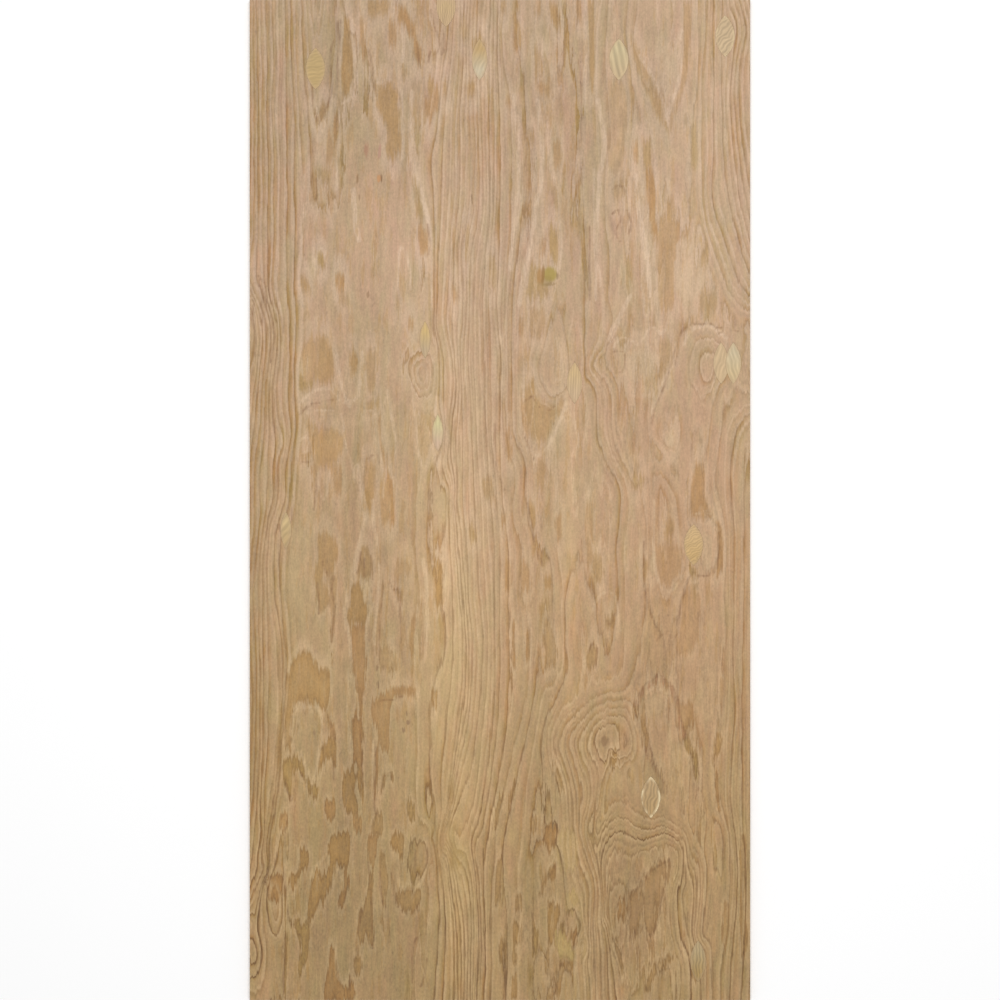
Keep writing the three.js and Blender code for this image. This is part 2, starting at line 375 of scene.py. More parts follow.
    (19, [(53, 998), (58, 975), (64, 960), (74, 955), (76, 975), (76, 1000)]),
    (19.4, [(66, 975), (68, 1000)]),
    (18.6, [(65, 945), (60, 925), (72, 935)]),
    (19, [(62, 932), (64, 920), (75, 912), (80, 925), (84, 945), (74, 938), (62, 932)]),
    # straight grain in the middle, lower half
    (2, [(-69, 470), (-65, 505), (-64, 550), (-64, 562), (-55, 570), (-58, 600), (-55, 640), (-60, 670),
      (-67, 700), (-70, 740), (-71, 790), (-72, 815), (-69, 838)]),
    (3, [(-50, 480), (-50, 550), (-47, 600), (-47, 650), (-50, 690), (-54, 730), (-59, 770), (-59, 810),
      (-62, 838)]),
    (5, [(-45, 548), (-40, 600), (-37, 650), (-38, 690), (-44, 730), (-49, 770), (-54, 810), (-60, 840),
      (-55, 860), (-51, 885), (-47, 915), (-46, 950), (-46, 1000)]),
    (2, [(-70, 868), (-62, 880), (-60, 905), (-61, 945), (-66, 1000)]),
    (8, [(-57, 836), (-50, 850), (-44, 872), (-40, 895), (-36, 925), (-36, 960), (-36, 1000)]),
    (11, [(-45, 846), (-32, 860), (-27, 895), (-26, 940), (-27, 1000)]),
    (14, [(-25, 850), (-21, 880), (-19, 940), (-20, 1000)]),
    (0, [(-91, 367), (-86, 357), (-79, 353), (-73, 355), (-68, 362), (-67, 376), (-68, 390), (-76, 396),
      (-84, 390), (-91, 367)]),
    (-1, [(-86, 368), (-80, 361), (-73, 363), (-70, 375), (-72, 387), (-79, 389), (-84, 380),
      (-86, 368)]),
    (-2, [(-81, 370), (-76, 367), (-74, 376), (-77, 383), (-81, 376), (-81, 370)]),
    (2, [(-66, 330), (-61, 352), (-60, 375), (-61, 400), (-57, 430), (-60, 450)]),
    # whorl at the edge of the flat grain, low down
    (0, [(-84, 848), (-85, 868), (-82, 878), (-77, 873), (-72, 864), (-73, 848), (-79, 842), (-84, 848)]),
    (1, [(-70, 835), (-68, 850), (-66, 862), (-68, 868)]),
    (1, [(-71, 884), (-71, 902), (-75, 924), (-83, 937), (-87, 960), (-88, 1000)]),
    # whorls on the left edge, low down
    (5, [(-250, 898), (-243, 884), (-236, 871)]),
    (3, [(-246, 915), (-240, 893), (-235, 878), (-232, 868)]),
    (1, [(-238, 985), (-234, 960), (-236, 935), (-237, 905), (-234, 885), (-231, 874)]),
    (0, [(-233, 890), (-232, 915), (-227, 934), (-220, 927), (-218, 905), (-218, 892)]),
    (-1, [(-229, 898), (-227, 915), (-223, 920), (-221, 908), (-222, 898)]),
    (2, [(-250, 925), (-241, 935), (-238, 955), (-241, 970), (-250, 977)]),
    (3, [(-250, 935), (-244, 945), (-243, 958), (-250, 965)]),
]

# Where the knife ran along one ring for a long way: places across and down, all on FLAT_RING.
FLAT_RING = 0.5
FLAT_ACROSS = (-186, -165, -143, -122, -102)
FLAT_DOWN = range(215, 1001, 45)

# Broad soft pools of tone and warmth in the wood: the place of each, half its width and
# length, how much lighter it is, and how much pinker (or, below 0, more olive).
POOLS = [
    ((-58, 300), (28, 170), 0.10, -0.03),
    ((-50, 600), (34, 210), 0.20, -0.08),
    ((-42, 900), (12, 130), 0.14, -0.12),
    ((70, 530), (8, 170), 0.16, 0.02),
    ((-135, 235), (22, 60), 0.10, 0.10),
    ((-98, 255), (12, 34), 0.10, 0.02),
    ((190, 120), (80, 240), 0.09, -0.02),
    ((168, 150), (14, 50), 0.08, 0.0),
    ((130, 235), (12, 50), 0.10, 0.06),
    ((186, 275), (13, 32), 0.10, 0.04),
    ((-215, 90), (40, 130), -0.05, -0.02),
    ((-165, 80), (14, 60), -0.08, -0.02),
    ((-168, 440), (20, 150), -0.02, 0.12),
    ((-138, 600), (18, 140), -0.12, 0.04),
    ((-200, 700), (40, 160), -0.03, -0.10),
    ((-150, 780), (16, 90), -0.14, -0.04),
    ((-172, 890), (22, 80), -0.12, -0.08),
    ((-105, 860), (34, 150), -0.08, -0.10),
    ((45, 850), (30, 140), -0.08, -0.04),
    ((130, 905), (26, 60), -0.16, 0.06),
    ((190, 620), (60, 180), -0.02, 0.16),
    ((170, 480), (50, 120), 0.0, 0.10),
    ((90, 620), (20, 120), 0.0, 0.06),
    ((150, 700), (30, 90), -0.08, 0.06),
    ((238, 880), (20, 160), -0.06, -0.04),
    ((-246, 560), (10, 190), -0.08, 0.0),
    ((-150, 80), (44, 130), -0.08, -0.08),
    ((-94, 70), (26, 120), -0.07, -0.02),
    ((-150, 440), (36, 150), -0.04, -0.10),
    ((-94, 600), (24, 110), -0.05, 0.0),
    ((30, 80), (26, 90), -0.07, -0.02),
    ((94, 110), (26, 100), -0.07, -0.06),
    ((156, 90), (30, 110), -0.06, 0.0),
    ((164, 124), (20, 56), -0.12, 0.0),
    ((-150, 950), (80, 80), -0.08, 0.0),
    ((30, 920), (40, 60), -0.03, 0.0),
    ((0, 520), (50, 150), 0.0, 0.06),
    ((-56, 428), (13, 50), -0.08, 0.0),
    ((192, 540), (24, 40), -0.04, 0.0),
    ((150, 796), (20, 36), -0.07, 0.0),
]

# Where less amber, or more, lies in the wood: the place of each, half its width and length, and
# how much less.
PALER = [
    ((-32, 530), (32, 430), 0.85),
    ((24, 600), (26, 160), 0.16),
    ((-156, 100), (38, 150), -0.45),
    ((-156, 450), (36, 190), -0.45),
    ((-92, 80), (28, 120), -0.30),
    ((62, 110), (50, 140), -0.40),
]

# Where the rings show more, or less, than elsewhere, and where finer ones lie between them: the
# place of each, half its width and length, how much bolder, and how strong the finer ones are.
CLEARINGS = [
    ((95, 890), (20, 100), 0.25, 1.0),
    ((190, 910), (18, 80), 0.30, 1.0),
    ((66, 760), (22, 60), 0.40, 0.9),
    ((140, 832), (40, 22), 0.25, 0.3),
    ((100, 742), (22, 32), 0.50, 0.0),
    ((15, 250), (24, 220), 0.0, 0.8),
    ((70, 130), (20, 110), 0.0, 0.6),
    ((110, 460), (20, 90), 0.10, 0.6),
    ((30, 600), (26, 120), 0.0, 0.7),
    ((236, 740), (12, 200), 0.10, 0.8),
    ((205, 362), (24, 36), 0.50, 0.3),
    ((160, 80), (22, 60), 0.25, 0.0),
    ((160, 702), (28, 50), 0.20, 0.0),
    ((54, 350), (22, 56), -0.30, 0.3),
    ((-77, 375), (13, 26), 0.35, 0.0),
    ((-222, 120), (16, 150), -0.15, 0.8),
    ((-30, 200), (28, 260), -0.04, 1.0),
    ((-34, 520), (30, 170), 0.28, 0.3),
    ((120, 180), (70, 180), -0.25, 0.0),
    ((164, 500), (50, 160), -0.35, 0.0),
    ((-50, 852), (22, 30), -0.50, 0.0),
    ((62, 930), (12, 60), -0.45, 0.0),
    ((-240, 910), (16, 50), 0.30, 0.0),
    ((-234, 312), (14, 40), 0.60, 0.4),
    ((36, 925), (12, 90), -0.45, 0.5),
]

# Islands of latewood in the flat grain, where the knife just grazed a ring: the colour of each,
# how much of the wood around it it hides, and its outline, a smooth closed curve.
AMBER, RUST, UMBER, OLIVE, PALE = "ac8757", "ac8355", "aa885e", "a88857", "c2a88a"
DEEP, WINE, GOLD, STRAW = "a68158", "a8785a", "b58d58", "c2aa78"
ISLAND_MARGIN = 5.0  # how far past its outline an island is reckoned
ISLAND_STRETCH = 0.25  # its edge is this much softer along the grain
VEIN_HALF = 1.3
ISLANDS = [
    # left flat grain, top
    (AMBER, 1.0, [(-156, 18), (-151, 18), (-150, 40), (-147, 55), (-146, 75), (-149, 90), (-155, 97),
      (-158, 88), (-158, 66), (-157, 45)]),
    (RUST, 0.68, [(-138, 15), (-134, 20), (-133, 45), (-134, 64), (-138, 62), (-140, 40)]),
    (AMBER, 0.68, [(-131, 0), (-112, 0), (-112, 12), (-122, 16), (-130, 18)]),
    (RUST, 0.68, [(-111, 20), (-106, 22), (-103, 35), (-104, 48), (-109, 48), (-112, 35)]),
    (RUST, 0.98, [(-103, 8), (-97, 6), (-91, 16), (-85, 27), (-84, 36), (-79, 48), (-77, 62), (-83, 63),
      (-87, 50), (-91, 34), (-97, 24), (-102, 22)]),
    (UMBER, 0.75, [(-100, 66), (-94, 66), (-92, 76), (-96, 79), (-99, 72)]),
    (AMBER, 0.9, [(-121, 86), (-113, 82), (-104, 86), (-101, 96), (-103, 104), (-100, 112), (-101, 128),
      (-99, 140), (-101, 152), (-107, 163), (-111, 158), (-116, 150), (-112, 140), (-114, 128),
      (-119, 116), (-123, 104), (-122, 94)]),
    (RUST, 0.75, [(-69, 79), (-64, 82), (-61, 98), (-62, 112), (-67, 118), (-71, 126), (-74, 116),
      (-76, 100), (-71, 94)]),
    (RUST, 0.75, [(-165, 113), (-161, 116), (-161, 130), (-164, 142), (-167, 130)]),
    (RUST, 0.52, [(-172, 128), (-168, 132), (-167, 150), (-170, 166), (-174, 166), (-173, 145)]),
    (UMBER, 1.0, [(-176, 103), (-171, 106), (-174, 112), (-177, 122), (-181, 124), (-186, 120),
      (-188, 112), (-184, 114), (-180, 110)]),
    (UMBER, 0.75, [(-132, 48), (-129, 50), (-125, 70), (-123, 92), (-126, 92), (-129, 72)]),
    (OLIVE, 0.6, [(-183, 168), (-172, 170), (-170, 178), (-178, 182), (-184, 178)]),
    (RUST, 0.6, [(-189, 172), (-184, 174), (-183, 196), (-185, 206), (-190, 200), (-190, 185)]),
    (RUST, 0.6, [(-172, 190), (-167, 192), (-166, 205), (-169, 212), (-172, 206)]),
    (OLIVE, 1.0, [(-184, 254), (-180, 252), (-176, 258), (-175, 266), (-178, 269), (-182, 262)]),
    (RUST, 1.0, [(-163, 272), (-158, 272), (-155, 280), (-156, 288), (-160, 292), (-164, 284)]),
    (AMBER, 0.9, [(-200, 276), (-195, 278), (-191, 288), (-193, 294), (-198, 288)]),
    (UMBER, 0.52, [(-160, 290), (-152, 293), (-150, 302), (-152, 308), (-157, 304)]),
    (RUST, 0.83, [(-81, 222), (-76, 224), (-72, 240), (-73, 256), (-79, 254), (-82, 238)]),
    (OLIVE, 0.68, [(-87, 176), (-83, 178), (-78, 204), (-78, 220), (-83, 214), (-85, 195)]),
    (RUST, 0.75, [(-92, 319), (-87, 319), (-86, 327), (-91, 328)]),
    (UMBER, 0.6, [(-104, 298), (-101, 298), (-100, 312), (-103, 312)]),
    # round the arch at the left
    (AMBER, 0.75, [(-184, 336), (-175, 333), (-170, 345), (-166, 360), (-166, 378), (-172, 384),
      (-182, 384), (-184, 372), (-181, 356)]),
    (OLIVE, 0.9, [(-200, 376), (-190, 374), (-186, 384), (-192, 392), (-200, 392)]),
    (PALE, 0.35, [(-152, 352), (-146, 390), (-139, 350), (-136, 352), (-138, 385), (-140, 405),
      (-156, 408), (-158, 380)]),
    (AMBER, 0.9, [(-150, 352), (-144, 352), (-142, 362), (-146, 374), (-150, 372)]),
    (UMBER, 0.68, [(-132, 350), (-125, 352), (-124, 372), (-126, 392), (-131, 392), (-133, 372)]),
    (AMBER, 0.55, [(-196, 418), (-188, 425), (-182, 428), (-178, 442), (-172, 450), (-180, 462),
      (-183, 478), (-186, 492), (-188, 470), (-186, 456), (-192, 462), (-198, 460), (-199, 453),
      (-188, 450), (-184, 442), (-190, 438)]),
    (RUST, 0.6, [(-168, 462), (-160, 464), (-158, 480), (-160, 496), (-165, 494), (-167, 478)]),
    (AMBER, 1.0, [(-135, 463), (-129, 462), (-126, 476), (-127, 500), (-129, 514), (-135, 512),
      (-137, 498), (-134, 484)]),
    (RUST, 0.75, [(-124, 416), (-120, 418), (-119, 438), (-114, 452), (-114, 474), (-117, 462),
      (-121, 444)]),
    (RUST, 0.9, [(-114, 476), (-108, 478), (-106, 500), (-105, 520), (-108, 528), (-112, 520),
      (-112, 498)]),
    (OLIVE, 0.68, [(-134, 402), (-122, 400), (-122, 407), (-134, 412)]),
    (OLIVE, 0.35, [(-85, 412), (-78, 416), (-70, 411), (-67, 430), (-72, 448), (-77, 462), (-80, 450),
      (-83, 430)]),
    # left flat grain, lower half
    (AMBER, 0.7, [(-183, 536), (-178, 532), (-168, 534), (-162, 548), (-163, 560), (-166, 572),
      (-170, 578), (-175, 572), (-178, 580), (-183, 590), (-186, 575), (-182, 558)]),
    (UMBER, 0.68, [(-184, 580), (-176, 582), (-170, 596), (-168, 606), (-174, 604), (-178, 614),
      (-182, 604)]),
    (UMBER, 0.6, [(-170, 574), (-165, 576), (-164, 598), (-167, 640), (-169, 640), (-169, 604)]),
    (UMBER, 0.9, [(-140, 556), (-134, 546), (-128, 552), (-127, 572), (-130, 578), (-136, 580),
      (-143, 574), (-142, 564)]),
    (AMBER, 0.98, [(-146, 582), (-138, 584), (-136, 600), (-131, 612), (-134, 620), (-137, 625),
      (-148, 625), (-154, 618), (-150, 606), (-150, 594)]),
    (RUST, 0.9, [(-148, 624), (-136, 624), (-134, 645), (-134, 670), (-137, 700), (-137, 715),
      (-140, 715), (-142, 695), (-147, 672), (-148, 645)]),
    (UMBER, 0.5, [(-117, 578), (-114, 584), (-117, 600), (-120, 640), (-122, 655), (-124, 640),
      (-121, 600)]),
    (UMBER, 0.45, [(-104, 562), (-92, 560), (-88, 572), (-98, 576), (-104, 585), (-106, 575)]),
    (UMBER, 0.9, [(-109, 586), (-103, 590), (-97, 592), (-99, 602), (-103, 594)]),
    (UMBER, 0.52, [(-122, 650), (-112, 646), (-106, 652), (-104, 668), (-110, 672), (-118, 668)]),
    (RUST, 0.52, [(-88, 612), (-84, 620), (-86, 640), (-86, 656), (-91, 654), (-91, 640)]),
    (AMBER, 0.75, [(-67, 572), (-60, 574), (-58, 592), (-63, 590), (-66, 582)]),
    (AMBER, 0.9, [(-215, 700), (-214, 680), (-206, 662), (-198, 650), (-188, 656), (-182, 668),
      (-176, 664), (-170, 674), (-170, 692), (-173, 706), (-178, 714), (-180, 703), (-188, 705),
      (-199, 701), (-206, 710), (-209, 730), (-210, 752), (-215, 750)]),
    (OLIVE, 1.0, [(-216, 760), (-208, 755), (-200, 758), (-196, 768), (-190, 780), (-184, 785),
      (-181, 788), (-183, 799), (-189, 796), (-195, 784), (-199, 772), (-205, 769), (-207, 785),
      (-208, 803), (-212, 792), (-216, 775)]),
    (AMBER, 1.0, [(-176, 742), (-172, 737), (-165, 737), (-163, 750), (-164, 768), (-168, 758),
      (-174, 760), (-179, 764), (-181, 775), (-183, 785), (-184, 772), (-180, 755)]),
    (RUST, 0.6, [(-173, 716), (-169, 720), (-163, 732), (-160, 740), (-164, 742), (-170, 736)]),
    (RUST, 1.0, [(-147, 714), (-142, 714), (-136, 730), (-137, 748), (-138, 768), (-146, 766),
      (-147, 745), (-148, 730)]),
    (AMBER, 1.0, [(-153, 768), (-145, 768), (-138, 768), (-137, 785), (-136, 800), (-140, 796),
      (-142, 782), (-146, 790), (-143, 800), (-142, 812), (-148, 815), (-155, 810), (-158, 800),
      (-157, 785)]),
    (RUST, 0.75, [(-146, 814), (-139, 814), (-138, 828), (-142, 836), (-146, 828)]),
    (RUST, 0.9, [(-174, 800), (-166, 800), (-164, 812), (-168, 824), (-173, 820), (-175, 810)]),
    (RUST, 0.75, [(-219, 812), (-213, 812), (-212, 824), (-217, 834), (-221, 826)]),
    (RUST, 0.75, [(-128, 702), (-118, 694), (-110, 688), (-100, 686), (-84, 688), (-82, 692), (-100, 695),
      (-108, 702), (-110, 718), (-111, 740), (-112, 752), (-118, 750), (-120, 738), (-122, 760),
      (-123, 790), (-124, 802), (-126, 795), (-125, 760), (-123, 730), (-128, 718)]),
    (UMBER, 0.9, [(-117, 770), (-108, 772), (-106, 778), (-112, 778), (-116, 792), (-119, 792)]),
    (UMBER, 0.9, [(-125, 812), (-118, 815), (-116, 828), (-118, 836), (-128, 832), (-127, 822)]),
    (OLIVE, 0.9, [(-93, 800), (-88, 798), (-84, 806), (-85, 818), (-90, 820), (-93, 812)]),
    (AMBER, 0.9, [(-110, 836), (-104, 833), (-98, 832), (-94, 838), (-97, 850), (-99, 862), (-102, 852),
      (-108, 850)]),
    (AMBER, 1.0, [(-172, 848), (-166, 834), (-152, 832), (-150, 850), (-152, 864), (-154, 872),
      (-158, 868), (-162, 866), (-166, 868), (-168, 878), (-170, 895), (-175, 896), (-176, 912),
      (-179, 900), (-182, 905), (-186, 916), (-190, 922), (-193, 915), (-190, 895), (-188, 880),
      (-183, 870), (-180, 868), (-178, 876), (-172, 868), (-169, 860)]),
    (RUST, 0.98, [(-158, 868), (-152, 870), (-150, 885), (-154, 898), (-158, 910), (-162, 904),
      (-161, 896), (-157, 894), (-156, 880)]),
    (AMBER, 1.0, [(-200, 848), (-192, 850), (-190, 862), (-196, 870), (-202, 878), (-202, 886),
      (-208, 889), (-212, 882), (-210, 874), (-204, 872), (-200, 862)]),
    (RUST, 1.0, [(-232, 876), (-224, 874), (-217, 875), (-216, 885), (-219, 898), (-223, 903),
      (-228, 900), (-233, 890)]),
    (OLIVE, 1.0, [(-210, 920), (-200, 922), (-194, 920), (-190, 926), (-190, 940), (-192, 958),
      (-197, 963), (-200, 978), (-202, 970), (-199, 950), (-200, 940), (-204, 932)]),
    (OLIVE, 0.9, [(-215, 886), (-213, 888), (-213, 940), (-213, 1000), (-215, 1000), (-215, 940)]),
    (RUST, 1.0, [(-170, 946), (-165, 946), (-163, 970), (-160, 980), (-152, 988), (-150, 975),
      (-146, 985), (-146, 1000), (-177, 1000), (-175, 985), (-172, 965)]),
    (UMBER, 1.0, [(-146, 958), (-138, 956), (-138, 970), (-141, 976), (-147, 970)]),
    (UMBER, 0.98, [(-140, 910), (-136, 905), (-132, 888), (-130, 870), (-127, 870), (-127, 900),
      (-126, 930), (-126, 948), (-130, 945), (-133, 932), (-139, 945), (-143, 932)]),
    (RUST, 0.75, [(-131, 834), (-122, 832), (-123, 855), (-127, 868), (-131, 860)]),
    (UMBER, 0.68, [(-119, 850), (-113, 868), (-111, 885), (-114, 898), (-113, 908), (-117, 905),
      (-119, 890), (-120, 870)]),
    (UMBER, 0.6, [(-121, 908), (-117, 912), (-117, 928), (-120, 925)]),
    # straight grain in the middle
    (AMBER, 0.8, [(-72, 78), (-65, 78), (-64, 94), (-68, 104), (-72, 96)]),
    (AMBER, 0.8, [(-57, 78), (-53, 80), (-53, 95), (-57, 94)]),
    (OLIVE, 0.6, [(-38, 12), (-34, 14), (-34, 38), (-38, 40)]),
    (OLIVE, 0.9, [(-28, 38), (-16, 37), (-14, 50), (-18, 55), (-27, 52)]),
    (PALE, 1.0, [(-24, 54), (-16, 56), (-12, 66), (-13, 78), (-20, 80), (-27, 76), (-29, 66)]),
    (AMBER, 1.0, [(-33, 80), (-26, 80), (-25, 95), (-33, 95)]),
    (AMBER, 0.8, [(1, 0), (6, 0), (6, 12), (2, 14)]),
    (OLIVE, 0.7, [(16, 0), (21, 0), (20, 14), (16, 14)]),
    (RUST, 0.6, [(34, 0), (40, 0), (40, 14), (35, 16)]),
    (AMBER, 0.9, [(50, 0), (57, 8), (60, 24), (58, 35), (54, 28), (50, 14)]),
    (AMBER, 0.7, [(14, 15), (18, 20), (22, 34), (21, 48), (16, 48), (14, 34)]),
    (UMBER, 0.8, [(34, 48), (39, 50), (42, 62), (43, 78), (36, 80), (35, 64)]),
    (PALE, 0.5, [(45, 62), (62, 60), (66, 78), (50, 80)]),
    (RUST, 0.7, [(36, 82), (48, 82), (50, 92), (42, 96)]),
    (RUST, 0.6, [(6, 95), (10, 96), (11, 110), (7, 110)]),
    (OLIVE, 0.6, [(22, 110), (26, 112), (26, 128), (22, 126)]),
    (AMBER, 0.7, [(26, 128), (32, 130), (35, 144), (29, 146)]),
    (OLIVE, 0.6, [(40, 128), (44, 130), (44, 142), (40, 140)]),
    (RUST, 0.6, [(53, 140), (60, 142), (60, 170), (54, 168)]),
    (RUST, 0.7, [(22, 206), (28, 207), (27, 218), (22, 228)]),
    (PALE, 0.6, [(34, 192), (40, 192), (40, 208), (35, 208)]),
    (OLIVE, 0.9, [(50, 225), (56, 228), (58, 245), (56, 262), (51, 260), (49, 245)]),
    (RUST, 0.7, [(40, 240), (46, 241), (45, 256), (41, 256)]),
    (OLIVE, 0.75, [(32, 262), (40, 264), (42, 284), (50, 290), (42, 296), (34, 300), (27, 292)]),
    (UMBER, 0.6, [(34, 306), (44, 309), (46, 324), (44, 336), (31, 334), (30, 320)]),
    (OLIVE, 0.6, [(-35, 225), (-31, 226), (-30, 262), (-35, 262)]),
    (OLIVE, 0.6, [(-10, 255), (-5, 256), (-4, 290), (-10, 290)]),
    (RUST, 0.8, [(-47, 288), (-42, 288), (-42, 303), (-46, 303)]),
    (RUST, 0.6, [(18, 318), (22, 319), (22, 336), (18, 336)]),
    (AMBER, 0.65, [(24, 395), (30, 384), (40, 397), (54, 405), (62, 399), (62, 411), (53, 424), (47, 436),
      (38, 446), (32, 440), (26, 424)]),
    (RUST, 0.8, [(22, 400), (27, 402), (28, 424), (30, 438), (25, 432), (22, 420)]),
    (AMBER, 0.9, [(29, 380), (34, 380), (35, 398), (30, 400)]),
    (AMBER, 0.6, [(-2, 350), (2, 352), (2, 380), (-3, 382)]),
    (PALE, 0.6, [(55, 358), (62, 356), (63, 371), (58, 375), (54, 369)]),
    (PALE, 1.0, [(-63, 414), (-59, 418), (-57, 432), (-58, 450), (-64, 450), (-65, 430)]),
    (RUST, 0.75, [(5, 430), (11, 431), (12, 460), (7, 458)]),
    (PALE, 0.5, [(-4, 430), (2, 430), (2, 460), (-3, 458)]),
    (AMBER, 0.6, [(-18, 476), (-10, 478), (-6, 492), (-3, 505), (-12, 500), (-18, 490)]),
    (RUST, 0.9, [(2, 513), (6, 515), (5, 527), (2, 526)]),
    (AMBER, 0.8, [(29, 500), (34, 505), (36, 520), (33, 530), (30, 520)]),
    (RUST, 0.6, [(56, 512), (61, 514), (61, 542), (57, 542)]),
    (OLIVE, 0.8, [(-30, 526), (-26, 527), (-23, 540), (-28, 545), (-31, 536)]),
    (RUST, 0.55, [(5, 560), (12, 561), (11, 590), (6, 590)]),
    (RUST, 0.55, [(20, 560), (29, 562), (28, 590), (22, 592)]),
    (AMBER, 1.0, [(-66, 560), (-58, 562), (-57, 580), (-58, 606), (-64, 606), (-65, 584)]),
    (PALE, 0.8, [(-56, 560), (-52, 564), (-53, 590), (-55, 600), (-57, 580)]),
    (AMBER, 0.6, [(44, 575), (50, 576), (50, 590), (45, 590)]),
    (UMBER, 0.8, [(47, 618), (53, 634), (57, 650), (54, 668), (46, 668), (46, 650), (42, 640)]),
    (RUST, 0.9, [(12, 622), (15, 624), (15, 668), (12, 664)]),
    (RUST, 0.8, [(25, 622), (28, 624), (29, 656), (26, 660)]),
    (AMBER, 0.8, [(-68, 688), (-63, 690), (-64, 710), (-68, 706)]),
    (UMBER, 0.8, [(0, 794), (4, 792), (2, 808), (-3, 824), (-7, 834), (-5, 814)]),
    (AMBER, 0.7, [(14, 778), (19, 782), (12, 802), (8, 812), (9, 798)]),
    (AMBER, 0.8, [(30, 815), (36, 816), (35, 832), (31, 834)]),
    (UMBER, 0.8, [(-4, 858), (1, 860), (1, 880), (-1, 906), (-5, 904), (-4, 880)]),
    (UMBER, 0.9, [(15, 894), (21, 896), (22, 910), (16, 912)]),
    (AMBER, 0.8, [(13, 920), (20, 922), (20, 944), (15, 948)]),
    (PALE, 0.6, [(22, 926), (30, 928), (30, 942), (22, 942)]),
    (OLIVE, 0.8, [(33, 926), (38, 928), (37, 950), (32, 960)]),
    (UMBER, 0.8, [(1, 938), (6, 944), (5, 962), (1, 966), (-1, 950)]),
    (UMBER, 0.7, [(12, 950), (19, 952), (18, 962), (12, 962)]),
    (AMBER, 0.8, [(12, 974), (17, 976), (17, 1000), (11, 1000)]),
    (RUST, 1.0, [(43, 822), (52, 823), (60, 830), (57, 845), (50, 852), (44, 846), (42, 832)]),
    (RUST, 0.9, [(55, 858), (57, 862), (54, 878), (50, 878), (52, 868)]),
    (UMBER, 0.7, [(50, 868), (52, 874), (44, 886), (39, 900), (39, 886), (44, 876)]),
    (AMBER, 1.0, [(48, 900), (57, 902), (60, 914), (55, 930), (54, 945), (49, 946), (48, 924)]),
    (UMBER, 0.8, [(44, 952), (49, 946), (50, 974), (45, 976)]),
    (RUST, 0.9, [(60, 972), (61, 984), (57, 994), (52, 1000), (50, 998), (54, 988)]),
    (AMBER, 0.55, [(132, 40), (139, 50), (146, 70), (153, 82), (161, 98), (164, 118), (167, 130),
      (161, 124), (156, 112), (150, 102), (145, 90), (139, 76), (134, 60)]),
    (AMBER, 0.5, [(183, 0), (191, 0), (190, 40), (187, 72), (183, 92), (177, 110), (170, 128), (172, 110),
      (179, 90), (184, 60)]),
    (UMBER, 0.9, [(-104, 893), (-97, 889), (-82, 889), (-78, 893), (-80, 902), (-87, 912), (-94, 912),
      (-100, 909), (-103, 902)]),
    # right of the middle, top
    (RUST, 0.75, [(76, 0), (81, 0), (82, 20), (78, 20)]),
    (AMBER, 0.7, [(88, 0), (94, 0), (94, 88), (89, 92), (89, 45)]),
    (PALE, 0.5, [(159, 58), (176, 60), (172, 98), (164, 100)]),
    (UMBER, 0.45, [(109, 82), (124, 84), (126, 120), (122, 168), (110, 170), (108, 125)]),
    (RUST, 0.7, [(133, 140), (138, 142), (137, 160), (133, 160)]),
    (OLIVE, 0.75, [(143, 140), (150, 141), (150, 168), (144, 170)]),
    (OLIVE, 0.45, [(191, 120), (196, 122), (197, 170), (191, 168)]),
    (OLIVE, 0.4, [(83, 220), (88, 222), (88, 300), (83, 300)]),
    (RUST, 0.7, [(77, 170), (80, 172), (80, 204), (77, 204)]),
    (UMBER, 0.6, [(112, 186), (126, 183), (128, 190), (122, 200), (114, 200)]),
    (PALE, 0.6, [(136, 176), (145, 178), (143, 225), (137, 224)]),
    (PALE, 0.6, [(145, 226), (152, 228), (151, 298), (146, 300)]),
    (RUST, 1.0, [(146, 166), (151, 166), (155, 190), (156, 215), (158, 235), (153, 240), (150, 215),
      (146, 195)]),
    (AMBER, 0.55, [(170, 192), (174, 200), (177, 215), (180, 230), (178, 245), (175, 262), (174, 298),
      (169, 310), (160, 311), (158, 290), (158, 250), (155, 236), (160, 222), (166, 214)]),
    (PALE, 0.55, [(177, 240), (200, 242), (200, 296), (186, 302), (176, 298)]),
    (OLIVE, 1.0, [(187, 256), (191, 256), (191, 263), (187, 263)]),
    (OLIVE, 0.65, [(200, 240), (207, 242), (207, 270), (201, 270)]),
    (UMBER, 0.6, [(201, 290), (214, 294), (215, 312), (204, 316), (199, 304)]),
    (PALE, 0.6, [(128, 352), (157, 350), (156, 380), (130, 380)]),
    (UMBER, 0.6, [(160, 342), (171, 345), (167, 372), (158, 376)]),
    (PALE, 0.8, [(165, 431), (174, 431), (175, 446), (166, 446)]),
    (OLIVE, 0.7, [(132, 474), (144, 476), (142, 488), (134, 490)]),
    (RUST, 0.8, [(196, 462), (203, 462), (205, 500), (212, 520), (203, 518), (192, 516), (190, 500),
      (192, 482)]),
    (GOLD, 0.6, [(-188, 434), (-178, 428), (-166, 430), (-158, 438), (-160, 455), (-168, 466),
      (-180, 468), (-188, 458)]),
    (GOLD, 0.5, [(-196, 342), (-184, 340), (-183, 362), (-186, 384), (-196, 388)]),
    (GOLD, 0.6, [(-134, 462), (-126, 462), (-125, 492), (-129, 510), (-134, 504)]),
    (GOLD, 0.55, [(-119, 480), (-112, 478), (-108, 496), (-110, 524), (-117, 526)]),
    # right of the middle, lower half
    (RUST, 0.45, [(86, 500), (92, 502), (92, 560), (87, 568), (85, 530)]),
    (UMBER, 0.75, [(93, 553), (98, 552), (104, 572), (99, 584), (94, 572)]),
    (UMBER, 0.8, [(166, 523), (172, 522), (173, 530), (168, 536), (174, 544), (170, 548), (165, 538)]),
    (RUST, 0.45, [(157, 546), (182, 546), (182, 566), (174, 582), (166, 588), (158, 578)]),
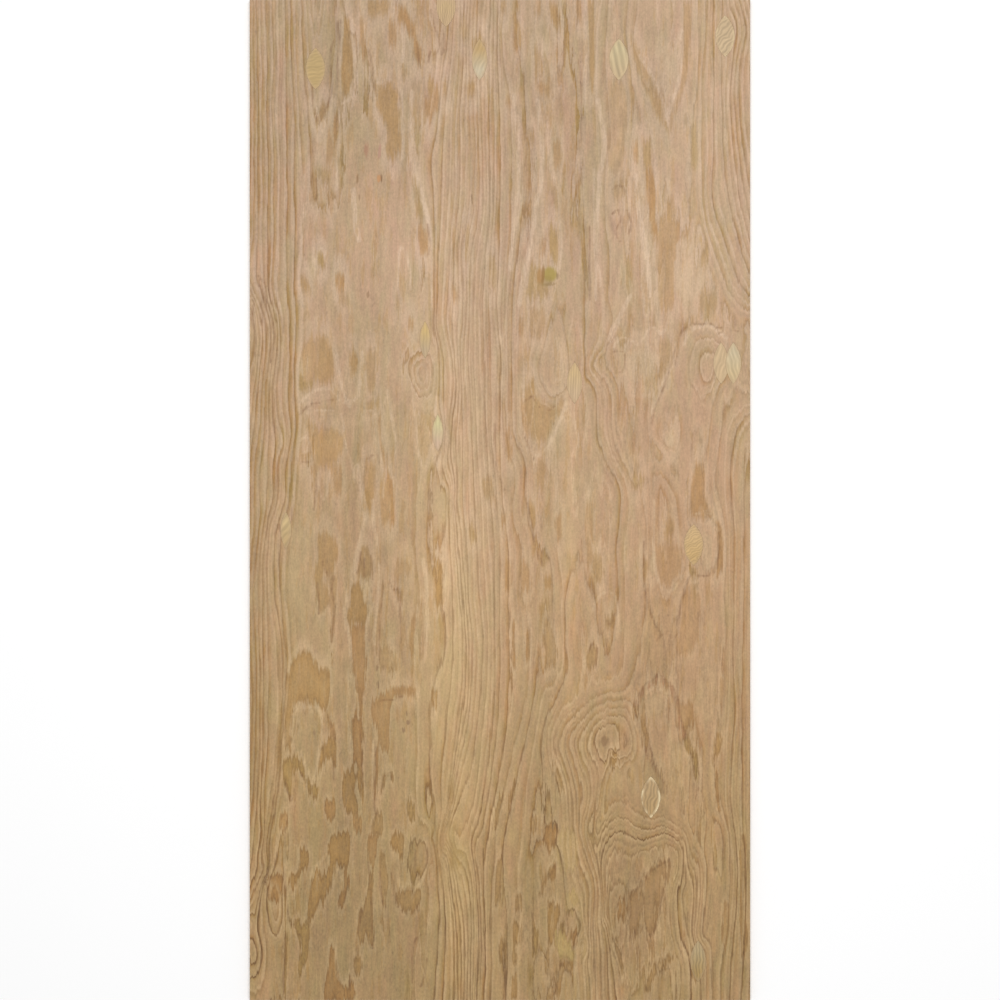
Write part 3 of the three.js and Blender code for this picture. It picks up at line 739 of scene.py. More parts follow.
    (AMBER, 1.0, [(143, 556), (147, 558), (146, 578), (143, 578)]),
    (PALE, 0.8, [(149, 554), (154, 556), (154, 576), (150, 576)]),
    (RUST, 0.9, [(214, 520), (219, 524), (223, 545), (221, 572), (216, 577), (218, 556), (217, 540)]),
    (OLIVE, 1.0, [(189, 564), (196, 566), (197, 575), (190, 577)]),
    (PALE, 0.55, [(203, 530), (212, 534), (213, 560), (211, 572), (203, 570)]),
    (RUST, 0.4, [(183, 592), (198, 592), (200, 620), (196, 645), (180, 656), (176, 645), (181, 620)]),
    (AMBER, 0.2, [(148, 600), (176, 606), (174, 660), (150, 668), (142, 640)]),
    (UMBER, 1.0, [(148, 648), (151, 650), (151, 658), (148, 658)]),
    (UMBER, 0.7, [(105, 618), (113, 614), (116, 626), (106, 632)]),
    (UMBER, 0.8, [(88, 652), (93, 640), (97, 648), (95, 668), (90, 670), (86, 664)]),
    (UMBER, 0.6, [(44, 458), (38, 460), (36, 474), (40, 492), (45, 488)]),
    (RUST, 1.0, [(132, 702), (138, 703), (138, 720), (133, 716)]),
    (WINE, 0.6, [(133, 712), (136, 700), (143, 688), (151, 682), (158, 675), (165, 679), (173, 687),
      (178, 700), (181, 718), (186, 736), (182, 737), (178, 720), (175, 702), (170, 692), (163, 684),
      (158, 680), (152, 686), (145, 692), (139, 702), (136, 714)]),
    (AMBER, 0.6, [(141, 720), (148, 722), (148, 745), (142, 744)]),
    (PALE, 0.55, [(142, 696), (162, 694), (164, 716), (144, 718)]),
    (RUST, 0.5, [(174, 702), (190, 702), (194, 730), (186, 734), (178, 718)]),
    (OLIVE, 1.0, [(187, 734), (192, 742), (197, 755), (199, 770), (198, 782), (194, 775), (190, 755),
      (184, 744)]),
    (PALE, 0.4, [(200, 665), (216, 665), (215, 720), (201, 718)]),
    (PALE, 0.5, [(171, 742), (180, 740), (182, 770), (172, 772)]),
    (AMBER, 0.8, [(216, 735), (224, 736), (222, 746), (216, 756), (213, 766), (212, 755)]),
    (RUST, 0.6, [(220, 676), (224, 680), (222, 700), (222, 722), (219, 700)]),
    (RUST, 0.75, [(214, 760), (217, 770), (219, 800), (224, 812), (218, 812), (215, 795)]),
    (AMBER, 1.0, [(110, 752), (117, 750), (118, 762), (113, 770), (110, 766)]),
    (UMBER, 1.0, [(52, 764), (58, 767), (62, 779), (65, 792), (60, 793), (55, 780)]),
    (DEEP, 0.6, [(129, 892), (136, 889), (140, 878), (148, 871), (157, 863), (167, 858), (171, 863),
      (169, 877), (164, 890), (161, 904), (158, 917), (155, 931), (151, 937), (145, 928), (140, 930),
      (134, 940), (129, 939), (130, 922), (128, 904)]),
    (RUST, 1.0, [(118, 898), (124, 897), (128, 906), (126, 918), (121, 922), (118, 914)]),
    (UMBER, 0.9, [(112, 934), (118, 942), (121, 955), (124, 974), (120, 976), (116, 956)]),
    (UMBER, 0.9, [(150, 972), (158, 963), (168, 955), (173, 958), (166, 967), (156, 971), (152, 982),
      (150, 992), (145, 990), (147, 978)]),
    (PALE, 0.8, [(192, 950), (200, 948), (201, 960), (193, 962)]),
    (AMBER, 1.0, [(192, 966), (197, 967), (196, 980), (192, 980)]),
    (OLIVE, 0.85, [(213, 845), (217, 848), (218, 868), (214, 870)]),
    (AMBER, 0.8, [(240, 830), (245, 835), (246, 900), (246, 960), (241, 955), (240, 900)]),
    (RUST, 0.6, [(224, 898), (229, 904), (228, 930), (226, 950), (221, 945), (223, 920)]),
    (OLIVE, 0.8, [(60, 925), (66, 924), (65, 934), (61, 936)]),
    (RUST, 1.0, [(73, 925), (77, 930), (78, 944), (73, 948), (71, 938)]),
    (PALE, 0.7, [(64, 943), (74, 944), (74, 955), (65, 956)]),
    (AMBER, 0.9, [(58, 966), (64, 960), (74, 957), (74, 966), (66, 968), (61, 982), (58, 996)]),
    (STRAW, 0.75, [(56, 930), (62, 927), (66, 938), (76, 950), (75, 960), (66, 962), (58, 954)]),
    (STRAW, 0.4, [(56, 830), (66, 827), (76, 832), (77, 866), (67, 873), (57, 868)]),
    (STRAW, 0.5, [(66, 890), (74, 886), (77, 900), (73, 914), (66, 912)]),
]

# Pale seams beside the rings in the flat grain: half the width of each, and its line.
SEAMS = [
    (1.6, [(-148, 20), (-146, 50), (-144, 70), (-146, 90), (-150, 100), (-158, 104)]),
    (1.4, [(-161, 108), (-160, 125), (-162, 150), (-163, 190)]),
    (1.3, [(-167, 78), (-168, 98), (-165, 106)]),
    (1.5, [(-136, 10), (-134, 40), (-130, 52), (-125, 70), (-122, 85), (-114, 80), (-103, 82)]),
    (1.4, [(-99, 90), (-97, 110), (-97, 160)]),
    (2.6, [(-88, 92), (-90, 130), (-89, 150), (-86, 170), (-80, 190), (-76, 205), (-72, 222)]),
    (1.6, [(-72, 222), (-70, 250), (-69, 280), (-68, 310)]),
    (1.3, [(-108, 2), (-106, 14), (-104, 20), (-101, 8)]),
    (1.8, [(-99, 27), (-96, 48), (-98, 62)]),
    (3.0, [(-147, 190), (-145, 220), (-141, 240)]),
    (1.5, [(-101, 290), (-101, 262), (-99, 246), (-95, 250), (-91, 265), (-89, 290)]),
    (1.2, [(-183, 262), (-182, 250), (-178, 248), (-174, 258), (-172, 268)]),
    (1.6, [(-196, 175), (-195, 210), (-198, 240), (-199, 260)]),
    (1.9, [(-199, 402), (-192, 395), (-184, 390), (-175, 388), (-168, 389), (-163, 396), (-158, 402),
      (-150, 406)]),
    (1.5, [(-193, 413), (-186, 411), (-166, 411), (-159, 413), (-157, 422), (-155, 440), (-151, 456),
      (-147, 468), (-145, 482)]),
    (1.9, [(-163, 354), (-162, 368), (-158, 386), (-154, 400), (-148, 402), (-142, 397), (-140, 384),
      (-139, 368), (-138, 352)]),
    (1.5, [(-136, 412), (-128, 411), (-124, 414), (-122, 425), (-121, 440), (-119, 455), (-117, 470),
      (-116, 485), (-117, 498)]),
    (1.6, [(-113, 390), (-110, 405), (-106, 428), (-103, 445), (-105, 462), (-108, 478)]),
    (1.4, [(-87, 380), (-88, 396), (-85, 412), (-83, 440), (-81, 455), (-78, 466)]),
    (1.6, [(-199, 440), (-194, 436), (-189, 441), (-190, 450), (-197, 453)]),
    (1.4, [(-182, 472), (-181, 490), (-176, 500), (-172, 490), (-171, 470)]),
    (2.4, [(-143, 465), (-140, 482), (-136, 500), (-134, 515), (-137, 530), (-142, 548), (-146, 572)]),
    (1.7, [(-127, 500), (-127, 520), (-123, 540), (-121, 570), (-122, 600), (-125, 625), (-126, 645)]),
    (1.4, [(-131, 588), (-128, 605), (-133, 625), (-135, 640)]),
    (1.5, [(-152, 590), (-156, 612), (-152, 630), (-150, 655)]),
    (2.4, [(-77, 560), (-74, 580), (-73, 610), (-74, 640)]),
    (1.9, [(-209, 735), (-207, 720), (-201, 702), (-195, 708), (-188, 706), (-181, 708), (-178, 722),
      (-180, 745), (-183, 768), (-187, 784), (-190, 775), (-196, 760)]),
    (2.0, [(-151, 668), (-152, 700), (-151, 735), (-150, 752)]),
    (1.4, [(-84, 700), (-82, 730), (-82, 760), (-83, 790)]),
    (1.5, [(-126, 740), (-128, 770), (-128, 800)]),
    (1.6, [(-190, 878), (-186, 866), (-182, 864), (-176, 858), (-173, 848)]),
    (1.5, [(-166, 890), (-166, 875), (-162, 868), (-158, 874), (-157, 890)]),
    (1.5, [(-165, 945), (-164, 965), (-162, 978), (-156, 984), (-152, 978)]),
    (1.4, [(-215, 870), (-214, 850), (-208, 842), (-202, 848), (-201, 866), (-205, 874)]),
    (1.8, [(-103, 870), (-101, 884), (-96, 888), (-82, 887), (-77, 880), (-75, 868)]),
    # right of the middle
    (2.6, [(37, 100), (41, 130), (42, 160), (40, 190), (36, 205), (34, 220), (30, 245), (26, 265),
      (22, 285), (20, 305)]),
    (2.4, [(14, 95), (17, 130), (19, 165), (17, 200), (13, 235), (11, 270)]),
    (2.6, [(98, 100), (103, 130), (104, 150), (101, 170), (99, 185), (97, 215), (95, 240), (96, 262),
      (100, 285)]),
    (2.4, [(110, 340), (116, 325), (124, 308), (130, 296)]),
    (1.2, [(180, 938), (179, 960), (177, 985)]),
    (1.0, [(183, 936), (183, 960), (182, 984)]),
    (1.2, [(186, 936), (186, 962), (186, 984)]),
    (1.0, [(189, 938), (189, 962), (189, 982)]),
    (1.8, [(139, 56), (147, 68), (155, 82), (160, 96), (164, 106), (166, 120), (169, 112), (173, 98),
      (178, 84), (181, 60), (182, 30)]),
    (1.8, [(85, 0), (85, 60), (84, 110)]),
    (1.8, [(94, 170), (95, 240), (96, 300)]),
    (2.6, [(136, 175), (138, 205), (143, 235), (148, 265), (149, 296)]),
    (1.6, [(112, 350), (120, 338), (130, 340), (138, 345), (147, 332), (152, 326), (160, 334),
      (166, 330)]),
    (1.8, [(176, 342), (172, 365), (164, 380), (156, 400), (151, 415)]),
    (2.2, [(184, 345), (188, 334), (196, 327), (206, 325), (216, 329), (226, 338)]),
    (1.6, [(154, 500), (153, 545), (157, 575), (163, 590), (170, 592), (177, 584), (184, 574)]),
    (1.5, [(196, 514), (205, 511), (213, 518), (218, 532)]),
    (1.5, [(92, 612), (98, 597), (108, 591), (115, 595), (118, 610), (120, 632)]),
    (1.6, [(142, 706), (146, 693), (155, 687), (163, 691), (170, 700)]),
    (1.8, [(28, 448), (37, 456), (46, 450), (54, 434), (62, 416), (66, 402)]),
    (1.4, [(57, 832), (56.5, 850), (58, 872)]),
    (1.4, [(62.5, 829), (62, 850), (63, 874)]),
    (1.4, [(68, 829), (68, 850), (69, 872)]),
    (1.4, [(73.5, 832), (74, 850), (74, 868)]),
]

# Thin dark veins, where the knife left a trace of a ring's hard edge.
VEINS = [
    [(-163, 22), (-164, 38), (-168, 46), (-170, 62), (-168, 80), (-169, 95), (-172, 105), (-177, 116),
      (-181, 124), (-184, 116), (-187, 105), (-187, 85)],
    [(-159, 20), (-162, 60), (-163, 88)],
    [(-131, 50), (-127, 70), (-125, 88), (-123, 96)],
    [(-83, 42), (-80, 68)],
    [(-69, 10), (-66, 25), (-62, 35), (-60, 50), (-66, 55), (-70, 52), (-72, 63)],
    [(-57, 32), (-54, 46), (-58, 55)],
    [(-184, 178), (-183, 202)],
    [(-72, 225), (-70, 245), (-72, 256)],
    [(-200, 415), (-193, 407), (-185, 403), (-178, 402), (-168, 400), (-161, 398)],
    [(-199, 460), (-194, 463), (-190, 461)],
    [(-132, 459), (-128, 455), (-122, 454), (-121, 464)],
    [(-184, 466), (-184, 490), (-186, 510)],
    [(-208, 508), (-209, 520), (-213, 530), (-219, 532), (-221, 525)],
    [(-139, 552), (-141, 570), (-144, 574)],
    [(-129, 555), (-128, 580)],
    [(-136, 558), (-136, 578)],
    [(-166, 575), (-168, 590), (-166, 605), (-168, 642)],
    [(-183, 582), (-181, 600), (-181, 614)],
    [(-178, 560), (-175, 570), (-171, 577)],
    [(-111, 580), (-107, 590), (-101, 588)],
    [(-116, 580), (-118, 600), (-120, 622), (-121, 655), (-123, 670)],
    [(-101, 590), (-100, 605), (-98, 640), (-97, 665)],
    [(-89, 530), (-88, 546)],
    [(-199, 772), (-194, 785), (-188, 795), (-184, 799)],
    [(-214, 782), (-209, 802), (-206, 788)],
    [(-172, 716), (-168, 728), (-164, 740)],
    [(-165, 750), (-166, 768), (-165, 781)],
    [(-148, 722), (-144, 716), (-141, 722), (-139, 740), (-138, 770), (-139, 799)],
    [(-122, 702), (-113, 699), (-108, 700), (-98, 696)],
    [(-124, 740), (-125, 780), (-126, 802), (-123, 815)],
    [(-115, 776), (-110, 772), (-108, 780)],
    [(-215, 872), (-214, 895), (-211, 918), (-205, 928), (-199, 936)],
    [(-215, 930), (-215, 960), (-217, 985), (-214, 1000)],
    [(-131, 862), (-130, 880), (-128, 905), (-128, 930), (-127, 948)],
    [(-136, 905), (-140, 920), (-143, 940), (-142, 956)],
    [(-120, 870), (-120, 886), (-117, 900), (-114, 909)],
    [(-109, 872), (-106, 890), (-103, 906), (-97, 912), (-88, 913), (-82, 904)],
    [(-84, 850), (-85, 870), (-81, 880)],
    [(-78, 934), (-84, 938), (-87, 950), (-88, 982)],
    [(-111, 928), (-110, 944)],
    [(-73, 958), (-75, 975), (-79, 986)],
    [(-151, 990), (-149, 974)],
    [(-248, 290), (-246, 303), (-248, 316), (-245, 330), (-244, 342), (-246, 356)],
    [(-244, 274), (-237, 281), (-231, 288), (-227, 296), (-223, 305), (-219, 317), (-217, 330),
      (-219, 343)],
    [(-245, 283), (-238, 289), (-234, 299), (-231, 311), (-227, 324), (-225, 337), (-228, 350),
      (-229, 362)],
    [(-236, 296), (-239, 308), (-237, 320), (-234, 335), (-236, 350)],
    # right of the middle
    [(151, 426), (154, 410), (163, 389), (174, 354), (180, 334), (188, 326), (200, 325), (208, 323),
      (217, 328), (229, 329), (246, 334)],
    [(112, 190), (118, 185), (124, 188), (126, 196)],
    [(112, 214), (118, 210), (121, 220), (115, 232), (120, 242)],
    [(126, 210), (132, 222), (128, 234)],
    [(113, 352), (119, 350), (125, 354), (124, 370), (116, 374)],
    [(79, 60), (82, 100), (80, 150), (81, 170)],
    [(89, 226), (90, 300)],
    [(88, 652), (93, 642), (97, 648), (95, 668)],
    [(105, 618), (110, 626), (114, 614)],
    [(157, 640), (162, 634), (168, 632), (173, 640), (178, 632)],
    [(131, 900), (130, 892), (137, 888), (143, 885), (149, 871), (158, 866), (166, 861), (169, 858),
      (168, 872), (163, 890), (160, 906), (157, 924), (151, 936), (145, 927), (138, 924), (133, 938),
      (129, 940), (128, 920), (131, 900)],
    [(138, 696), (143, 686), (151, 681), (158, 674), (165, 679), (173, 687), (178, 702), (181, 720),
      (187, 738), (193, 756)],
    [(134, 712), (138, 726), (143, 744), (149, 760), (155, 772)],
    [(144, 542), (144, 571), (147, 602), (155, 624), (161, 634)],
    [(188, 578), (182, 600), (177, 624), (173, 640)],
    [(218, 532), (218, 556), (214, 573), (198, 576), (190, 566)],
    [(186, 736), (190, 752), (194, 770)],
    [(150, 748), (155, 764), (160, 776), (166, 786)],
    [(24, 402), (32, 396), (40, 408), (50, 410), (58, 404)],
    [(23, 432), (28, 446), (34, 460)],
    [(-5, 422), (-5, 464), (0, 478), (5, 492)],
    [(27, 502), (31, 522), (35, 546), (43, 566)],
    [(55, 864), (50, 876), (42, 884), (40, 898)],
]

# Small marks in the face: the place of each, half its width and length, its colour, and how
# much of the wood it hides. The first six make one streak, filled with putty and pitch.
MARKS = [
    ((50, 274.5), (7.8, 8.0), "9e8834", 0.80),
    ((46.5, 281), (6.5, 6.0), "967c42", 0.50),
    ((39.5, 276.5), (3.6, 8.0), "a5763c", 0.55),
    ((42.8, 275), (1.8, 9.5), "8c6428", 0.72),
    ((57.3, 276), (1.2, 5.0), "7d6238", 0.65),
    ((50, 284.5), (6.0, 1.8), "8a6e42", 0.50),
    ((-118.2, 178), (1.8, 4.5), "7d5834", 0.80),
    ((-121.5, 179), (2.2, 4), "bd8148", 0.60),
    ((-142, 179), (1.2, 5), "84623a", 0.60),
    ((-133, 150), (1.8, 9), "9f6a50", 0.50),
    ((-120, 151), (1.4, 8), "a87464", 0.50),
    ((-141, 198), (1.2, 4), "8a6a48", 0.50),
    ((-28, 200), (1.0, 6), "6f4d28", 0.70),
    ((-132, 295), (1.5, 3.5), "8a6a48", 0.60),
    ((-92, 722), (2.0, 3.0), "806144", 0.65),
    ((-97, 730), (2.2, 3.0), "806144", 0.65),
    ((-93, 713), (1.4, 3.0), "806144", 0.55),
    ((-122, 685), (1.2, 5), "6e5236", 0.60),
    ((-186, 733), (1.8, 3.0), "806144", 0.50),
    ((104, 741), (4.2, 6.0), "805f3c", 0.70),
]


def along_curve(points):
    """Places along a smooth curve through the points."""
    points = np.array(points, float)
    closed = np.array_equal(points[0], points[-1])
    before = points[-2] if closed else 2 * points[0] - points[1]
    after = points[1] if closed else 2 * points[-1] - points[-2]
    padded = np.vstack([before, points, after])
    places = []
    for a, b, c, d in zip(padded, padded[1:], padded[2:], padded[3:]):
        steps = max(1, round(math.dist(b, c) / CURVE_STEP))
        t = (np.arange(steps) / steps)[:, None]
        bend = (2 * a - 5 * b + 4 * c - d) * t**2 + (3 * b - a - 3 * c + d) * t**3
        places.append(b + ((c - a) * t + bend) / 2)
    if not closed:
        places.append(points[-1:])
    return np.vstack(places)


def distances(place, start, side):
    """How far each place lies from the nearest of the short lines that start and run so."""
    share = ((place - start) * side).sum(-1) / np.maximum((side**2).sum(-1), TINY)
    apart = place - start - np.clip(share, 0, 1)[..., None] * side
    return np.sqrt((apart**2).sum(-1).min(1))


def within(outline, across, down):
    """How far each place lies inside a closed outline; below 0, outside it."""
    squash = (1, ISLAND_STRETCH)
    start = along_curve([*outline, outline[0]]) * squash
    side = np.roll(start, -1, axis=0) - start
    place = np.stack([across, down], -1)[:, None] * squash
    distance = distances(place, start, side)
    above = start[:, 1] > place[..., 1]
    crossed = above != np.roll(above, -1, axis=1)
    slope = np.where(side[:, 1] == 0, TINY, side[:, 1])
    crossed &= place[..., 0] < start[:, 0] + (place[..., 1] - start[:, 1]) * side[:, 0] / slope
    return np.where(crossed.sum(1) % 2 == 1, distance, -distance)


def close_by(points, reach, across, down):
    """Which places lie in the points' own box, or within this reach of it."""
    low, high = np.min(points, 0) - reach, np.max(points, 0) + reach
    return (across > low[0]) & (across < high[0]) & (down > low[1]) & (down < high[1])


def line_map(lines, across, down):
    """The depth inside the nearest of some lines that have half their width beside them."""
    depth = np.full(across.shape, -ISLAND_MARGIN)
    for half_width, points in lines:
        near = close_by(points, ISLAND_MARGIN, across, down)
        line = along_curve(points)
        place = np.stack([across[near], down[near]], -1)[:, None]
        inside = half_width - distances(place, line[:-1], np.diff(line, axis=0))
        depth[near] = np.maximum(depth[near], inside)
    return depth


def island_maps(across, down):
    """The depth inside the nearest island, its colour, and how much of the wood it hides."""
    depth = np.full(across.shape, -ISLAND_MARGIN)
    hides = np.zeros(across.shape)
    colours = np.zeros((*across.shape, 3)) + linear(AMBER)[:3]
    reach = np.array([ISLAND_MARGIN, ISLAND_MARGIN / ISLAND_STRETCH])
    for hex_colour, strength, outline in ISLANDS:
        near = close_by(outline, reach, across, down)
        inside = within(outline, across[near], down[near])
        closer = inside > depth[near]
        chosen = np.zeros(across.shape, bool)
        chosen[near] = closer
        depth[chosen] = np.minimum(inside[closer], ISLAND_MARGIN)
        hides[chosen] = strength
        colours[chosen] = linear(hex_colour)[:3]
    return {"island": depth, "island_hides": hides, "island_colour": colours}


def bending(places, loads):
    """How much a thin plate bends at each place under each load."""
    squared = (places**2).sum(1)[:, None] + (loads**2).sum(1) - 2 * places @ loads.T
    squared = np.maximum(squared, TINY)
    return squared * np.log(squared) / 2


def ring_numbers(across, down):
    """The growth ring at each place: a thin plate, bent to pass every drawn ring at its number."""
    drawn, numbers = [], []
    for number, points in DRAWN_RINGS:
        points = np.array(points, float) * (1, GRAIN_STRETCH)
        if number == int(number):
            points = along_curve(points)
        drawn.append(points)
        numbers += [number] * len(points)
    flat = [(x, y * GRAIN_STRETCH) for x in FLAT_ACROSS for y in FLAT_DOWN]
    drawn = np.vstack([*drawn, flat])
    numbers += [FLAT_RING] * len(flat)
    count = len(drawn)
    plane = np.column_stack([np.ones(count), drawn])
    system = np.zeros((count + 3, count + 3))
    system[:count, :count] = bending(drawn, drawn) + np.eye(count) * GIVE
    system[:count, count:] = plane
    system[count:, :count] = plane.T
    solved = np.linalg.solve(system, np.append(numbers, [0, 0, 0]))
    rows = []
    for row_across, row_down in zip(across, down):
        places = np.column_stack([row_across, row_down * GRAIN_STRETCH])
        level = solved[count] + places @ solved[count + 1 :]
        rows.append(bending(places, drawn) @ solved[:count] + level)
    return np.array(rows)


def spline_weights(t):
    """What each of four values in a row counts for, at this share of the way between the middle two."""
    return (1 - t) ** 3 / 6, (3 * t**3 - 6 * t**2 + 4) / 6, (3 * (t + t**2 - t**3) + 1) / 6, t**3 / 6


def wander(across, down, wide, long, seed):
    """Smooth noise between about -1 and 1, with bumps about this wide and long."""
    lattice = np.random.default_rng(seed).uniform(-1, 1, (LATTICE, LATTICE))
    u, v = across / wide, down / long
    i, j = np.floor(u).astype(int), np.floor(v).astype(int)
    total = 0
    for a, weight_a in enumerate(spline_weights(u - i)):
        for b, weight_b in enumerate(spline_weights(v - j)):
            total = total + weight_a * weight_b * lattice[(j + b) % LATTICE, (i + a) % LATTICE]
    return total * FULL_SWING


def face_grid():
    """Where the rows of the face's fine grid cross, across and along the sheet."""
    half_x, half_y = SHEET_WIDTH / 2 - ARRIS, SHEET_LENGTH / 2 - ARRIS
    xs = np.linspace(-half_x, half_x, CELLS_ACROSS + 1)
    ys = np.linspace(-half_y, half_y, CELLS_ALONG + 1)
    return np.meshgrid(xs, ys)


def soft_places(places, across, down, power):
    """For each amount that soft-edged places hold, a map of how much of it lies where."""
    total = 0
    for (x, y), (half_width, half_length), *amounts in places:
        near = ((across - x) / half_width) ** power + ((down - y) / half_length) ** power
        total = total + np.exp(-near) * np.reshape(amounts, (-1, 1, 1))
    return total


def face_figure():
    """What the face's material reads at each place of the face's grid."""
    grid_x, grid_y = face_grid()
    across, down = grid_x / THOUSANDTH, (sheet_high.y - grid_y) / THOUSANDTH
    rings = ring_numbers(across, down)
    sideways = np.gradient(rings, across[0], axis=1)
    lengthways = np.gradient(rings, down[:, 0], axis=0)
    crowding = np.maximum(np.hypot(sideways, lengthways), LEAST_CROWDING)
    ragged = np.hypot(sideways * RAGGED_ACROSS, lengthways * RAGGED_ALONG) + LEAST_RAGGED
    stray = wander(across, down, STRAY_WIDE, STRAY_LONG, STRAY_SEED)
    tone, warmth = soft_places(POOLS, across, down, 2)
    bold, fine = soft_places(CLEARINGS, across, down, 4)
    (paler,) = soft_places(PALER, across, down, 2)
    return {
        "bold": bold,
        "fine": np.minimum(fine, 1),
        "rings": rings + stray * (0.05 + 0.5 * crowding),
        "crowding": crowding,
        "raggedness": ragged,
        "tone": tone,
        "warmth": warmth,
        "paler": paler,
        "seam": line_map(SEAMS, across, down),
        "vein": line_map([(VEIN_HALF, points) for points in VEINS], across, down),
        **island_maps(across, down),
    }


def ply_levels():
    """Heights of the glue lines, with the back and the face."""
    inner = (SHEET_THICKNESS - 2 * FACE_PLY) / (PLIES - 2)
    return [0, *(FACE_PLY + inner * i for i in range(PLIES - 1)), SHEET_THICKNESS]


def sheet_block():
    """The sheet as a closed mesh: a fine grid on its face, and two rows of faces for each ply."""
    grid_x, grid_y = face_grid()
    top = np.stack([grid_x, grid_y, np.full(grid_x.shape, sheet_high.z)], -1).reshape(-1, 3)
    index = np.arange(len(top)).reshape(grid_x.shape)
    quads = np.stack([index[:-1, :-1], index[:-1, 1:], index[1:, 1:], index[1:, :-1]], -1)
    faces = quads.reshape(-1, 4).tolist()
    rim = np.concatenate([index[0, :-1], index[:-1, -1], index[-1, :0:-1], index[:0:-1, 0]])
    edge = top[rim]
    reach = np.array([SHEET_WIDTH, SHEET_LENGTH]) / 2 - ARRIS
    outward = np.where(np.isclose(np.abs(edge[:, :2]), reach), np.sign(edge[:, :2]), 0)
    on_long_edge = outward[:, 0] != 0
    levels = ply_levels()
    rows = []
    for ply in reversed(range(PLIES)):
        end_grain = (ply % 2 == 1) == on_long_edge
        inset = np.where(end_grain, END_GRAIN_RECESS, 0)
        high = levels[ply + 1] - (ARRIS if ply == PLIES - 1 else GLUE_LINE_HALF)
        low = levels[ply] + (ARRIS if ply == 0 else GLUE_LINE_HALF)
        rows += [(high, inset), (low, inset)]
    rows.append((0, np.full(len(rim), ARRIS)))  # round the back
    verts = [top]
    previous = rim
    count = len(top)
    for height, inset in rows:
        place = edge.copy()
        place[:, :2] += outward * (ARRIS - inset)[:, None]
        place[:, 2] = sheet_low.z + height
        verts.append(place)
        now = np.arange(count, count + len(rim))
        count += len(rim)
        faces += np.stack([previous, now, np.roll(now, -1), np.roll(previous, -1)], -1).tolist()
        previous = now
    faces.append(previous[::-1].tolist())
    mesh = bpy.data.meshes.new("plywood")
    mesh.from_pydata(np.concatenate(verts).tolist(), [], faces)
    return mesh


def pocket_cutters():
    """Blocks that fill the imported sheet's patch pockets: its pocket floors, raised past the face."""
    cutter = bmesh.new()
    cutter.from_mesh(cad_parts["plywood_sheet"].data)
    bmesh.ops.remove_doubles(cutter, verts=cutter.verts, dist=TOUCHING)
    floor_z = sheet_high.z - FACE_PLY
    rest = [f for f in cutter.faces if any(abs(v.co.z - floor_z) > TOUCHING for v in f.verts)]
    bmesh.ops.delete(cutter, geom=rest, context="FACES")
    for vert in cutter.verts:
        if abs(abs(vert.co.y) - SHEET_LENGTH / 2) < TOUCHING:
            vert.co.y += math.copysign(CUTTER_MARGIN, vert.co.y)
    floors = list(cutter.faces)
    raised = bmesh.ops.extrude_face_region(cutter, geom=floors, use_keep_orig=True)
    for item in raised["geom"]:
        if isinstance(item, bmesh.types.BMVert):
            item.co.z += CUTTER_MARGIN
    bmesh.ops.recalc_face_normals(cutter, faces=cutter.faces)
    mesh = bpy.data.meshes.new("pocket cutters")
    cutter.to_mesh(mesh)
    cutter.free()
    return mesh


def with_pockets(block):
    """The sheet with a pocket for every patch."""
    sheet = placed("fir_plywood", block)
    cutters = placed("pocket cutters", pocket_cutters())
    cut = sheet.modifiers.new("pockets", "BOOLEAN")
    cut.operation = "DIFFERENCE"
    cut.solver = "MANIFOLD"
    cut.object = cutters
    graph = bpy.context.evaluated_depsgraph_get()
    cut_mesh = bpy.data.meshes.new_from_object(sheet.evaluated_get(graph))
    sheet.modifiers.clear()
    sheet.data = cut_mesh
    bpy.data.objects.remove(cutters)
    return sheet


def values_of(items, name, width=1, kind=np.float32):
    """One value of every item in a mesh's list, such as the place of each vertex."""
    values = np.empty(len(items) * width, kind)
    items.foreach_get(name, values)
    return values.reshape(-1, width).squeeze()


def add_figure(mesh):
    """Stores the figure on the mesh, read off the face's grid at each of its vertices."""
    x, y, _ = values_of(mesh.vertices, "co", 3).astype(float).T
    u = np.clip((x / (SHEET_WIDTH - 2 * ARRIS) + 0.5) * CELLS_ACROSS, 0, CELLS_ACROSS - 1e-6)
    v = np.clip((y / (SHEET_LENGTH - 2 * ARRIS) + 0.5) * CELLS_ALONG, 0, CELLS_ALONG - 1e-6)
    i, j = u.astype(int), v.astype(int)
    u, v = u - i, v - j
    for name, grid in face_figure().items():
        corners = [grid[j, i].T, grid[j, i + 1].T, grid[j + 1, i].T, grid[j + 1, i + 1].T]
        near = corners[0] * (1 - u) + corners[1] * u
        far = corners[2] * (1 - u) + corners[3] * u
        values = (near * (1 - v) + far * v).T.astype(np.float32)
        kind, key = ("FLOAT", "value") if grid.ndim == 2 else ("FLOAT_VECTOR", "vector")
        mesh.attributes.new(name, kind, "POINT").data.foreach_set(key, values.ravel())


# Kinds of shader node, and settings that many of them share
MATH, VECTOR_MATH = "ShaderNodeMath", "ShaderNodeVectorMath"
MAP_RANGE, MIX = "ShaderNodeMapRange", "ShaderNodeMix"
SMOOTH = {"interpolation_type": "SMOOTHSTEP"}
BLEND = {"out": 2, "data_type": "RGBA"}
TIMES = {"operation": "MULTIPLY"}


def streaks(node, place, wide, long, detail=2.0, roughness=0.5):
    """Noise drawn out along the grain, with streaks about this wide and long, from 0 to 1."""
    scale = (1 / wide, 1 / long, 1 / wide)
    stretched = node("ShaderNodeMapping", {"Vector": place, "Scale": scale})
    settings = {"Vector": stretched, "Scale": 1.0, "Detail": detail, "Roughness": roughness}
    return node("ShaderNodeTexNoise", settings)


# The figure's values that the face's material reads, in the order it takes them in
FACE_VALUES = "rings crowding raggedness tone warmth paler bold fine island island_hides seam vein"

